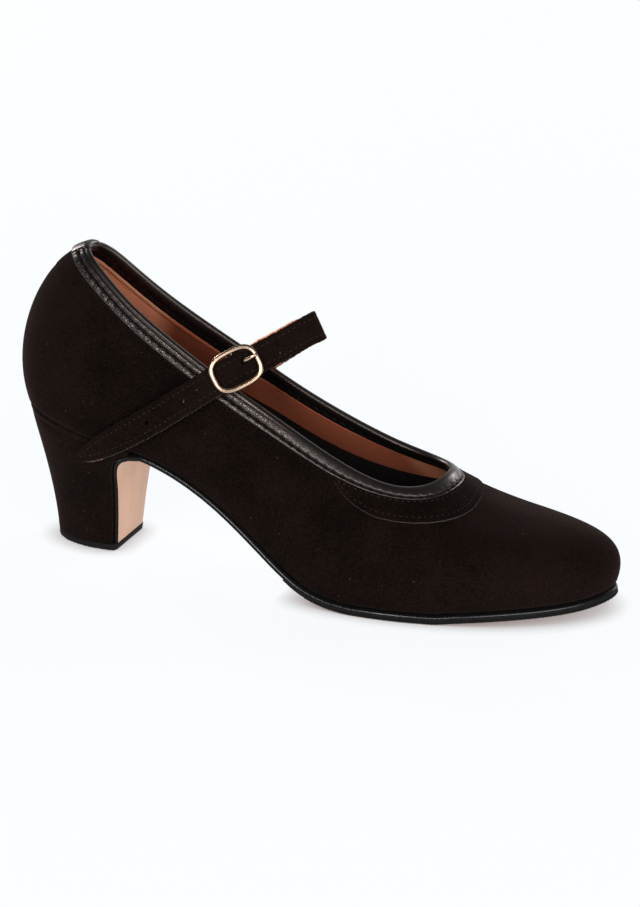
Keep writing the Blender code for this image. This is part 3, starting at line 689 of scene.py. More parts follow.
def rubber_finish(colours):
    """Moulded rubber: matt black with a pebble of about half a millimetre and a dusty bloom."""
    coat, tree, shader, here = start_finish("moulded rubber", Roughness=0.85, Specular_IOR_Level=0.2)
    tone = blend(tree, noise(tree, here, 0.006, 6), opaque(colours.rubber, 0.7), opaque(colours.rubber, 1.6))
    tree.links.new(tone, shader.inputs["Base Color"])
    pebble = add_node(tree, "ShaderNodeTexVoronoi", ins={"Vector": here, "Scale": 1 / 0.0006})
    relief(tree, shader, pebble.outputs["Distance"], 0.3, 0.00015)
    return coat


def gold_finish(colours):
    """Pale gold plating on a cast and tumbled buckle: bright, with a faint unevenness in the polish."""
    coat, tree, shader, here = start_finish("pale gold plate", Metallic=1.0, Base_Color=opaque(colours.gold))
    polish = noise(tree, here, 0.004, 2)
    tree.links.new(span(tree, polish, 0.0, 1.0, 0.10, 0.26), shader.inputs["Roughness"])
    relief(tree, shader, polish, 0.1, 0.0001)
    return coat


def thread_finish(name, shade):
    """Waxed polyester thread: a dull gleam, with its twist drawn at about 0.4 mm."""
    coat, tree, shader, here = start_finish(name, Roughness=0.75, Specular_IOR_Level=0.2)
    twist = noise(tree, here, 0.0004, 2)
    tree.links.new(blend(tree, twist, opaque(shade, 0.6), opaque(shade, 1.5)), shader.inputs["Base Color"])
    relief(tree, shader, twist, 0.4, 0.0001)
    return coat


def finish(name, settings):
    """A finish by its short name, made once."""
    made = {coat["finish"]: coat for coat in bpy.data.materials if "finish" in coat}
    if name not in made:
        c = settings.colours
        # The folded lining edge ahead of the heel carries the same painted shadow, in a paler tone
        edge_in_shadow = [1.6 * v for v in c.lining_in_shadow]
        makers = {
            "suede": lambda: suede_finish("napped suede", c, 0.35, 0.0),
            "cut_suede": lambda: cut_finish(c),
            "strap_suede": lambda: suede_finish("napped strap suede", c, 0.8, 0.3),
            "nappa": lambda: nappa_finish(c),
            "lining": lambda: lining_finish("cognac lining leather", c.lining, 0.62, c.lining_in_shadow, c.sock),
            "strap_lining": lambda: lining_finish("cognac strap lining", c.lining, 0.7),
            "lining_edge": lambda: lining_finish("folded lining edge", c.lining_edge, 0.8, edge_in_shadow),
            "sock": lambda: lining_finish("dark sock leather", c.sock, 0.7),
            "sole_leather": lambda: sole_leather_finish(c),
            "ink": lambda: ink_finish("edge ink", c, 0.9, 0.6),
            "glossy_ink": lambda: ink_finish("burnished edge ink", c, 0.35, 0.15),
            "rubber": lambda: rubber_finish(c),
            "gold": lambda: gold_finish(c),
            "thread": lambda: thread_finish("waxed thread", c.thread),
            "pale_thread": lambda: thread_finish("worn thread", c.pale_thread),
        }
        made[name] = makers[name]()
        made[name]["finish"] = name
    return made[name]


def loft(rings, wrap=False):
    """Points and quads of a body through rings of points. Open ends are closed across, point to partner."""
    rings = np.asarray(rings, float)
    count, size = rings.shape[:2]
    index = np.arange(count * size).reshape(count, size)
    low, high = (index, np.roll(index, -1, 0)) if wrap else (index[:-1], index[1:])
    quads = [np.stack([low, np.roll(low, -1, 1), np.roll(high, -1, 1), high], -1).reshape(-1, 4)]
    if not wrap:
        i = np.arange(size // 2 - 1)
        for loop, turn in ((index[0], -1), (index[-1], 1)):
            across = np.stack([loop[i], loop[i + 1], loop[size - 2 - i], loop[size - 1 - i]], -1)
            quads.append(across[:, ::turn])
    return rings.reshape(-1, 3), np.concatenate(quads)


def piece(name, body, coats, layer=None, sharp=50):
    """An object from points in pattern millimetres: its mesh in the row frame, faces outward, smooth."""
    points, quads = body
    a, b, c, d = [points[quads[:, k]] for k in range(4)]
    volume = np.sum(np.cross(a, b) * c) + np.sum(np.cross(a, c) * d)
    if volume < 0:
        quads = quads[:, ::-1]
    mesh = bpy.data.meshes.new(name)
    mesh.from_pydata((points * MM + SHIFT).tolist(), [], quads.tolist())
    for coat in coats:
        mesh.materials.append(coat)
    if layer is not None:
        mesh.polygons.foreach_set("material_index", np.asarray(layer, np.int32))
    mesh.shade_smooth()
    mesh.set_sharp_from_angle(angle=math.radians(sharp))
    thing = bpy.data.objects.new(name, mesh)
    bpy.context.scene.collection.objects.link(thing)
    return thing


def settle(thing, slot, *nodes):
    """The finished piece rides on the shoe and stands for its solids, which it hides; its slot is not used.
    """
    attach(thing, "root")
    if nodes:
        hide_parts(*nodes)


def apply_steps(thing):
    """The thing's modifiers worked into its mesh and removed."""
    bpy.context.view_layer.update()
    mesh = bpy.data.meshes.new_from_object(thing.evaluated_get(bpy.context.evaluated_depsgraph_get()))
    thing.modifiers.clear()
    old, thing.data = thing.data, mesh
    bpy.data.meshes.remove(old)
    mesh.name = thing.name


def combine(thing, other, operation):
    """A Boolean on thing, applied to its mesh; the other body is used up."""
    step = thing.modifiers.new(operation.lower(), "BOOLEAN")
    step.object = other
    step.operation = operation
    step.solver = "EXACT"
    apply_steps(thing)
    bpy.data.objects.remove(other)


def squared(turn, power):
    """Both sides of a circle drawn out towards a square; the lower the power, the squarer."""
    return [np.sign(wave) * np.abs(wave) ** power for wave in (np.cos(turn), np.sin(turn))]


def tube(points, half_wide, half_high, up, wrap=False, sides=14):
    """Rings of an oval section along a line; up is the way the section stands."""
    points = np.asarray(points, float)
    ahead = np.roll(points, -1, 0) - np.roll(points, 1, 0) if wrap else np.gradient(points, axis=0)
    along = unit(ahead)
    side = unit(np.cross(along, up))
    lift = np.cross(side, along)
    turn = np.linspace(0, 2 * math.pi, sides, endpoint=False) + math.pi / sides
    wide = np.broadcast_to(half_wide, len(points))[:, None, None]
    high = np.broadcast_to(half_high, len(points))[:, None, None]
    a, b = squared(turn, 0.85)
    return points[:, None] + side[:, None] * wide * a[None, :, None] + lift[:, None] * high * b[None, :, None]


def bead_row_tree():
    """Geometry nodes that set small rounded beads along lines, each leaning the way its line says."""
    tree = bpy.data.node_groups.get("bead_row")
    if tree:
        return tree
    tree = bpy.data.node_groups.new("bead_row", "GeometryNodeTree")
    for name, kind in (("Lines", "Geometry"), ("Pitch", "Float"), ("Length", "Float"), ("Thickness", "Float"),
                       ("Unevenness", "Float"), ("Seed", "Int"), ("Finish", "Material")):
        tree.interface.new_socket(name, in_out="INPUT", socket_type="NodeSocket" + kind)
    tree.interface.new_socket("Beads", in_out="OUTPUT", socket_type="NodeSocketGeometry")
    given = add_node(tree, "NodeGroupInput").outputs
    lines = add_node(tree, "GeometryNodeMeshToCurve", ins={"Mesh": given["Lines"]})
    even = add_node(tree, "GeometryNodeResampleCurve", {"mode": "LENGTH"}, {
        "Curve": lines.outputs[0], "Length": given["Pitch"]})
    bead = add_node(tree, "GeometryNodeMeshUVSphere", ins={"Segments": 8, "Rings": 6, "Radius": 0.5})
    size = add_node(tree, "ShaderNodeCombineXYZ", ins={
        "X": given["Thickness"], "Y": given["Thickness"], "Z": given["Length"]})
    least = add_node(tree, "ShaderNodeMath", {"operation": "SUBTRACT"}, {0: 1.0, 1: given["Unevenness"]})
    chance = add_node(tree, "FunctionNodeRandomValue", {"data_type": "FLOAT"}, {
        2: least.outputs[0], 3: 1.0, "Seed": given["Seed"]})
    uneven = add_node(tree, "ShaderNodeVectorMath", {"operation": "SCALE"}, {
        0: size.outputs[0], "Scale": chance.outputs[1]})
    lean = add_node(tree, "GeometryNodeInputNamedAttribute", {"data_type": "FLOAT_VECTOR"}, {"Name": "lean"})
    turn = add_node(tree, "FunctionNodeAlignRotationToVector", {"axis": "Z"}, {"Vector": lean.outputs[0]})
    rows = add_node(tree, "GeometryNodeInstanceOnPoints", ins={
        "Points": even.outputs[0], "Instance": bead.outputs[0], "Rotation": turn.outputs[0],
        "Scale": uneven.outputs[0]})
    real = add_node(tree, "GeometryNodeRealizeInstances", ins={0: rows.outputs[0]})
    smooth = add_node(tree, "GeometryNodeSetShadeSmooth", ins={0: real.outputs[0]})
    coated = add_node(tree, "GeometryNodeSetMaterial", ins={
        0: smooth.outputs[0], "Material": given["Finish"]})
    add_node(tree, "NodeGroupOutput", ins={0: coated.outputs[0]})
    return tree


def bead_row(name, lines, pitch, coat, long, thick, seed):
    """Beads along lines in pattern millimetres; each line is its points and the way its beads lean."""
    mesh = bpy.data.meshes.new(name)
    points = np.concatenate([line for line, _ in lines])
    starts = np.cumsum([0] + [len(line) for line, _ in lines])
    edges = [(i, i + 1) for a, b in zip(starts, starts[1:]) for i in range(a, b - 1)]
    mesh.from_pydata((points * MM + SHIFT).tolist(), edges, [])
    lean = mesh.attributes.new("lean", "FLOAT_VECTOR", "POINT")
    lean.data.foreach_set("vector", np.concatenate([way for _, way in lines]).astype(np.float32).ravel())
    thing = bpy.data.objects.new(name, mesh)
    bpy.context.scene.collection.objects.link(thing)
    tree = bead_row_tree()
    step = thing.modifiers.new("bead_row", "NODES")
    step.node_group = tree
    values = {"Pitch": pitch * MM, "Length": long * MM, "Thickness": thick * MM, "Unevenness": 0.22,
              "Seed": seed, "Finish": coat}
    for socket in tree.interface.items_tree:
        if socket.in_out == "INPUT" and socket.name in values:
            step[socket.identifier] = values[socket.name]
    apply_steps(thing)
    return thing


def along_line(points):
    """A line and the way it runs."""
    return points, unit(np.gradient(points, axis=0))


class FLAMENCO_OT_upper(bpy.types.Operator):
    """Builds the suede upper with its lining and the lining's folded edge"""

    bl_idname = "flamenco.build_upper"
    bl_label = "Upper"

    # Folded edge of the lining: down it as a share of its width, and how far it stands off
    LINING_EDGE = [
        (-0.7, 0.0), (-0.3, 0.1), (0.0, 0.5), (0.3, 0.62), (0.7, 0.58), (0.95, 0.3), (1.1, -0.2),
        (1.3, -0.24), (1.7, 0.0),
    ]

    def execute(self, context):
        settings = context.scene.flamenco_shoe
        sizes = settings.upper
        wall = sizes.wall / MM
        place = np.linspace(0, len(RIBS), 480, endpoint=False)
        share = np.linspace(0, 1, 104)
        down = rib_lengths(place, share)
        p, s = place[:, None], share[None, :]
        away = from_back(place)[:, None]
        out = sizes.fold_step / MM * ease((sizes.fold / MM - down) / 0.9)
        for where, high, half, wide, deep in CREASES:
            out = out - sizes.crease * deep * self.patch(p - where, s - high, half, wide)
        seam_deep, seam_half, tuck, tuck_high = 0.35, 0.05, 0.7, 0.02
        out = out - seam_deep * np.exp(-(away / seam_half) ** 2)
        out = out - tuck * ease(1 - s / tuck_high)
        outer = skin_out(p, s, out)
        # The folded edge is fullest at the rear
        rear = 0.35 + 0.65 * ease((6 - away) / 3)
        tape = sizes.tape / MM * (0.5 + 0.5 * rear)
        band = sizes.band / MM
        covered, tape_from, band_from, band_thick = [0.0, 3.4, 6.0], 6.9, 10.2, 0.3
        steps, lips = np.array(self.LINING_EDGE).T
        lower = [*np.linspace(band_from, band - 0.4, 6), band - 0.1, band + 0.1, band + 0.4, 21.0, 22.0, 23.0]
        down_in = np.concatenate([covered + 0 * away, tape_from + steps * tape, lower + 0 * away], 1)
        lip = np.zeros(down_in.shape)
        lip[:, len(covered):len(covered) + len(lips)] = lips * rear
        lip = lip + band_thick * ease((band + 0.1 - down_in) / 0.2) * ease((down_in - covered[-1]) / 0.5)
        inner_top = rim(place, down_in, -wall - lip)
        rest = np.linspace(1, 0, 44)[1:]
        low_share = np.array([np.interp(-lower[-1], -row, share) for row in down])
        inner_low = skin_out(p, low_share[:, None] * rest[None, :], -wall + 0 * rest[None, :])
        rings = np.concatenate([outer, inner_top, inner_low], 1)
        first = len(share)
        coat = np.zeros(rings.shape[1], int)
        coat[first:-1] = 1
        coat[first + 3:first + 9] = 2
        finishes = [finish(name, settings) for name in ("suede", "lining", "lining_edge")]
        thing = piece("upper_suede", loft(rings, wrap=True), finishes, np.tile(coat, len(place)))
        below = np.concatenate([0 * outer[..., 0] - 9, down_in - band, 9 + 0 * inner_low[..., 0]], 1)
        # Within about four ribs of the back the cognac goes all the way down
        below = below - 60 * ease((4.6 - away) / 0.8)
        # Painted shadow of the strap and the near collar on the lining ahead of the heel; it thins towards
        # the toe, where that shadow ends
        ahead = ease((away - 2.8) / 0.7) * (1 - 0.4 * ease((away - 7.8) / 0.6)) + 0 * below
        # Painted sheen at the heel's back and the toe, where the suede catches light at grazing angles
        brushed = 0 * below
        for where, high, half, wide, amount in PAINTED_SHEEN:
            brushed[:, :first] += amount * self.patch(p - where, s - high, half, wide)
        for name, values in (("below_band", below), ("ahead_of_heel", ahead), ("brushed", brushed)):
            layer = thing.data.attributes.new(name, "FLOAT", "POINT")
            layer.data.foreach_set("value", values.astype(np.float32).ravel())
        settle(thing, "suede", "upper")
        return {"FINISHED"}

    def patch(self, round_way, up_way, half, wide):
        """A soft spot on the suede, 1 at its middle."""
        return np.exp(-(round_way / half) ** 2 - (up_way / wide) ** 2)


class FLAMENCO_OT_binding(bpy.types.Operator):
    """Builds the nappa binding with its stitched groove, rolled edge and lapped back join"""

    bl_idname = "flamenco.build_binding"
    bl_label = "Binding"

    def execute(self, context):
        settings = context.scene.flamenco_shoe
        sizes = settings.binding
        place = np.linspace(0, len(RIBS), 1080, endpoint=False)
        spread, turn = binding_blend(place)
        line = rim(place, GROOVE[0], 1.0)[:, 0]
        step = np.linalg.norm(np.roll(line, -1, 0) - line, axis=1)
        total = step.sum()
        around = np.concatenate([[0], np.cumsum(step)[:-1]])
        count = round(total / (sizes.pitch / MM))
        narrowness, uneven, lap_edge, lap_high = 7, 0.05, 0.5, 0.34
        pull = np.abs(np.cos(math.pi * count * around / total)) ** narrowness
        draw = (sizes.pull / MM * pull + uneven * wobble(around / 3, seed=4))[:, None]
        cover = ease((sizes.join / MM - np.minimum(around, total - around)) / lap_edge)[:, None]
        lap = lap_high * cover
        rear_down, rear_out, front_down, front_out, felt = np.array(BINDING_OUTSIDE).T
        down = between((rear_down, front_down), turn)
        outside_down = np.where(down > 0, down * spread, down - lap)
        smooth = np.where((rear_down > 0.3) & (rear_down < 6.6), 0.9, rear_out)
        strips = between((rear_out, front_out), turn) - felt * draw
        outside = (1 - cover) * strips + cover * smooth + lap
        down, out, felt = np.array(BINDING_INSIDE).T
        shows = np.arange(len(out)) < len(out) - 4
        inside_down = np.where(down > 0, down + 0 * lap, down - lap * shows)
        inside = out + felt * draw - lap * shows
        section = [np.concatenate(pair, 1) for pair in ((outside_down, inside_down), (outside, inside))]
        rings = rim(place, *section)
        thing = piece("binding_nappa", loft(rings, wrap=True), [finish("nappa", settings)], sharp=70)
        crackle = thing.data.attributes.new("crackle", "FLOAT", "POINT")
        away, row = from_back(place)[:, None], np.arange(rings.shape[1])
        least, lower_strip, upper_strip = 0.12, (0.60, 0.15), 0.5
        worn = (row < GROOVE_ROW) * between(lower_strip, turn) * ease((away - 0.7) / 0.6)
        by_strap = np.exp(-((away - 5.0) / 1.6) ** 2)
        worn = worn + ((row > GROOVE_ROW) & (row < CREST_ROW)) * upper_strip * by_strap
        crackle.data.foreach_set("value", (least + worn).astype(np.float32).ravel())
        settle(thing, "nappa", "binding")
        run = np.linspace(0.6, 23.4, 700)
        spread, turn = binding_blend(run)
        groove = rim(run, between(GROOVE, turn) * spread, 0.30)[:, 0]
        thread = finish("thread", settings)
        lines = [along_line(groove)]
        thing = bead_row("binding_stitches", lines, sizes.pitch / MM, thread, long=2.5, thick=0.5, seed=11)
        settle(thing, "nappa")
        lines = []
        for start, end in ((0.4, OVERLAY[0][0] - 0.05), (OVERLAY[-1][0] + 0.05, 23.6)):
            run = np.linspace(start, end, 300)
            lines.append(along_line(rim(run, binding_edge(run, 0.85), 0.24)[:, 0]))
        thing = bead_row("binding_edge_stitches", lines, 2.0, thread, long=1.25, thick=0.34, seed=12)
        settle(thing, "nappa")
        return {"FINISHED"}


class FLAMENCO_OT_overlay(bpy.types.Operator):
    """Builds the suede throat overlay and its two rows of stitches"""

    bl_idname = "flamenco.build_overlay"
    bl_label = "Throat overlay"

    def execute(self, context):
        settings = context.scene.flamenco_shoe
        place = np.linspace(OVERLAY[0][0], OVERLAY[-1][0], 300)
        top = binding_edge(place)[:, 0]
        deep = OVERLAY_FROM + profile(OVERLAY, place) - top
        face = np.linspace(0, 1, 15)
        margin, thick, swell, sewn_deep, sewn_half = 2.4, 0.86, 0.06, 0.14, 0.5
        rows, outs = [], []
        for k in face:
            at = top + deep * k
            from_edge = deep * (1 - k)
            sewn = sewn_deep * np.exp(-((from_edge - margin) / sewn_half) ** 2)
            crown = thick + swell * np.sin(math.pi * k) - sewn
            rows.append(at)
            outs.append(crown * ease((from_edge + 0.55) / 0.8))
        ragged = 0.16
        fuzz = ragged * wobble(place * 40, seed=7)
        rows[-1] = rows[-1] + fuzz
        for extra, lift in ((0.16, 0.54), (0.20, 0.26), (0.06, 0.02)):
            rows.append(top + deep + extra + fuzz)
            outs.append(lift + 0 * place)
        for k in face[-2::-1]:
            rows.append(top + deep * k)
            outs.append(0.02 + 0 * place)
        rows.append(top)
        outs.append(0.5 + 0 * place)
        rings = rim(place, np.stack(rows, 1), np.stack(outs, 1))
        body = loft(rings)
        cut = (np.arange(len(rows)) >= len(face) - 1) & (np.arange(len(rows)) < len(face) + 2)
        layer = np.zeros(len(body[1]))
        layer[:len(rows) * (len(place) - 1)] = np.tile(cut, len(place) - 1)
        coats = [finish(name, settings) for name in ("suede", "cut_suede")]
        thing = piece("overlay_suede", body, coats, layer)
        settle(thing, "suede", "throat_overlay")
        inner = np.linspace(OVERLAY[0][0] + 0.12, OVERLAY[-1][0] - 0.12, 500)
        wide = profile(OVERLAY, inner)
        upper_row = rim(inner, binding_edge(inner, 0.95), thick)[:, 0]
        lower_row = rim(inner, (OVERLAY_FROM + np.maximum(wide - margin, 1.4))[:, None], 0.80)[:, 0]
        pitch = settings.strap.pitch / MM
        lines = [along_line(upper_row), along_line(lower_row)]
        thread = finish("pale_thread", settings)
        thing = bead_row("overlay_stitches", lines, pitch, thread, long=1.35, thick=0.36, seed=13)
        settle(thing, "suede")
        return {"FINISHED"}


class FLAMENCO_OT_sole(bpy.types.Operator):
    """Builds the leather outsole, the rubber half sole with its ribbed edge, and the insole with its sock"""

    bl_idname = "flamenco.build_sole"
    bl_label = "Sole"

    def execute(self, context):
        settings = context.scene.flamenco_shoe
        sizes = settings.sole
        thick = sizes.leather / MM
        section = [(0.0, 0.8), (0.08, 0.4), (0.25, 0.12), (0.5, 0.0), (thick - 0.8, 0.0)]
        burnished = len(section)
        section += [(thick - 0.62, 0.03), (thick - 0.18, 0.2), (thick - 0.05, 0.42), (thick + 0.04, 0.8),
                    (thick + 0.12, 1.4)]
        rings = [outsole_ring(height, inset, thick) for height, inset in section]
        body = loft(rings)
        count = len(rings[0])
        layer = np.ones(len(body[1]), int)
        cap = count // 2 - 1
        layer[count * (len(rings) - 1):count * (len(rings) - 1) + cap] = 0
        layer[:count] = 0
        layer[count * burnished:count * (burnished + 1)] = 2
        coats = [finish(name, settings) for name in ("sole_leather", "ink", "glossy_ink")]
        thing = piece("outsole_leather", body, coats, layer, sharp=60)
        settle(thing, "sole_leather", "outsole")
        deep = sizes.rubber / MM
        under = thick + GAP
        section = [(deep, 1.0), (deep - 0.06, 0.7), (deep - 0.2, 0.48), (deep - 0.45, 0.4), (0.1, 0.4),
                   (-0.25, 0.5)]
        rings = [rubber_ring(depth, inset, under) for depth, inset in section]
        thing = piece("half_sole_rubber", loft(rings), [finish("rubber", settings)], sharp=60)
        settle(thing, "rubber", "half_sole")
        low, high = rubber_ring(deep - 0.15, 0.42, under, 400), rubber_ring(0.15, 0.38, under, 400)
        line = (low + high) / 2
        ribs = [(line[20:-20], unit(high - low)[20:-20])]
        rubber = finish("rubber", settings)
        thing = bead_row("half_sole_ribs", ribs, sizes.rib / MM, rubber, deep + 0.1, 0.62, seed=14)
        settle(thing, "rubber")
        place = half_row(0.12, 150)
        rings = []
        for height, inset in ((0.2, 2.2), (0.7, 1.85), (1.5, 1.8), (1.85, 2.0), (2.0, 2.8)):
            edge, _ = feather(place, -inset + 0 * place)
            rings.append(edge + [0, 0, height * sizes.insole / MM / 2])
        thing = piece("insole_sock", loft(rings), [finish("sock", settings)], sharp=60)
        settle(thing, "sock", "insole")
        return {"FINISHED"}


class FLAMENCO_OT_heel(bpy.types.Operator):
    """Builds the suede-covered heel and its rubber tip"""

    bl_idname = "flamenco.build_heel"
    bl_label = "Heel"

    def execute(self, context):
        settings = context.scene.flamenco_shoe
        sole, tip = settings.sole.leather / MM, settings.sole.tip / MM
        seat_round, seat_from, foot_round, foot_to = 0.45, 0.985, 0.25, 0.012
        rings = []
        for level in 1 - np.linspace(1, 0, 70) ** 1.7:
            inset = seat_round * ease((level - seat_from) / (1 - seat_from))
            inset = inset + foot_round * ease((foot_to - level) / foot_to)
            rings.append(heel_ring(level, inset, sole, tip))
        thing = piece("heel_cover", loft(rings), [finish("suede", settings)], sharp=60)
        settle(thing, "suede", "heel")
        turn = np.linspace(-1, 1, 160) * 0.955 * math.acos((TIP_CENTRE - TIP_FRONT) / TIP_DEEP)
        wear, wear_high = 0.16, 1.5
        rings = []
        for height, inset in ((0, 0.7), (0.15, 0.3), (0.5, 0.08), (1.0, 0.0), (1.5, 0.0), (tip - 0.3, 0.0),
                              (tip - 0.08, 0.12), (tip, 0.4)):
            worn = inset + wear * (wobble(turn * 23 + height, seed=31) + 1) * ease((tip - height) / wear_high)
            along, across = TIP_CENTRE - (TIP_DEEP - worn) * np.cos(turn), (TIP_HALF - worn) * np.sin(turn)
            plan = np.stack([along, across], -1)
            bend = np.linspace(0, 1, 8)[1:, None] ** [[0.6, 1.7]]
            corner = plan[-1] + bend * [TIP_FRONT - worn[-1] - plan[-1, 0], -2.2]
            ring = np.concatenate([corner[::-1] * [1, -1], plan, corner])
            rings.append(np.concatenate([ring, np.full((len(ring), 1), height)], 1))
        thing = piece("heel_tip_rubber", loft(rings), [finish("rubber", settings)], sharp=60)
        settle(thing, "rubber", "heel_tip")
        return {"FINISHED"}


class FLAMENCO_OT_strap(bpy.types.Operator):
    """Builds the suede strap with its brown lining, its holes and its two rows of stitches"""

    bl_idname = "flamenco.build_strap"
    bl_label = "Strap"

    def execute(self, context):
        settings = context.scene.flamenco_shoe
        sizes = settings.strap
        wide, half = sizes.wide / MM, sizes.thick / MM / 2
        margin = sizes.margin / MM
        place = np.concatenate([np.linspace(STRAP_TIP[0][0], 1.2, 70)[:-1], np.linspace(1.2, 6, 220)[:-1],
                                np.linspace(6, 9, 120)[:-1], np.linspace(9, len(STRAP) - 1, 110)])
        centre, _, across, out = strap_frame(place)
        reach = strap_half(place, wide)
        share = np.linspace(-0.94, 0.94, 23)
        section = [(a, 1.0) for a in share]
        edge = [(0.985, 0.86), (1.0, 0.55), (0.995, 0.12), (1.0, -0.2), (0.985, -0.7), (0.95, -0.95)]
        section += edge
        section += [(a, -1) for a in np.linspace(0.9, -0.9, 15)]
        section += [(-a, b) for a, b in edge[::-1]]
        lining_out = {
            False: 0.6 * ease((place - 4.4) / 0.3) * ease((6.3 - place) / 0.6),
            True: 0.5 * ease((place - 0.3) / 0.3) * ease((1.0 - place) / 0.4),
        }
        ragged, sewn_deep, sewn_half = 0.18, 0.13, 0.4
        rings = []
        for a, b in section:
            at_edge = ease((abs(a) - 0.9) / 0.1) * ease(place)
            fuzz = ragged * wobble(place * 37, seed=21 if a > 0 else 22) * at_edge
            spare = lining_out[a > 0] * ease((abs(a) - 0.9) / 0.05) * (b < -0.1)
            sewn = sewn_deep * np.exp(-((reach * (1 - abs(a)) - margin) / sewn_half) ** 2) * (b > 0.9)
            rings.append(centre + across * (a * reach + np.sign(a) * (fuzz + spare))[:, None]
                         + out * (half * (b - sewn))[:, None])
        rings = np.stack(rings, 1)
        body = loft(rings)
        layer = np.full(len(body[1]), 2)
        for k, (a, b) in enumerate(section):
            side = np.where((b < -0.1) & (lining_out[a > 0] > 0.1), 1, 2)[:-1]
            layer[k:len(section) * (len(place) - 1):len(section)] = 0 if b > 0.7 else 1 if b < -0.8 else side
        coats = [finish(name, settings) for name in ("strap_suede", "strap_lining", "cut_suede")]
        thing = piece("strap_suede", body, coats, layer, sharp=60)
        for number, row_at in enumerate(HOLES_AT):
            middle, along, _, way = strap_point(row_at)
            ends = np.linspace(middle - way * 3, middle + way * 3, 4)
            drill = loft(tube(ends, sizes.hole / MM / 2, sizes.hole / MM / 2, along, sides=20))
            combine(thing, piece(f"drill_{number}", drill, []), "DIFFERENCE")
        slot = np.array([at_buckle(a, PRONG_SIDE, n) for a, n in [(1.7, -3.8), (3.3, 0.0), (4.9, 3.8)]])
        punch = loft(tube(slot, 1.15, 1.15, strap_point(BUCKLE_AT)[2], sides=20))
        combine(thing, piece("drill_prong", punch, []), "DIFFERENCE")
        settle(thing, "suede", "strap")
        run = np.linspace(STRAP_TIP[0][0], 11.4, 900)
        offset = strap_half(run, wide) - margin
        inside = offset > 0
        run, offset = run[inside], offset[inside]
        centre, _, across, out = strap_frame(run)
        level = out * (half - 0.06)
        upper_row = centre - across * offset[:, None] + level
        lower_row = centre + across * offset[:, None] + level
        lines = [along_line(np.concatenate([upper_row[::-1], lower_row]))]
        thread = finish("pale_thread", settings)
        thing = bead_row("strap_stitches", lines, sizes.pitch / MM, thread, long=1.3, thick=0.36, seed=15)
        settle(thing, "suede")
        return {"FINISHED"}


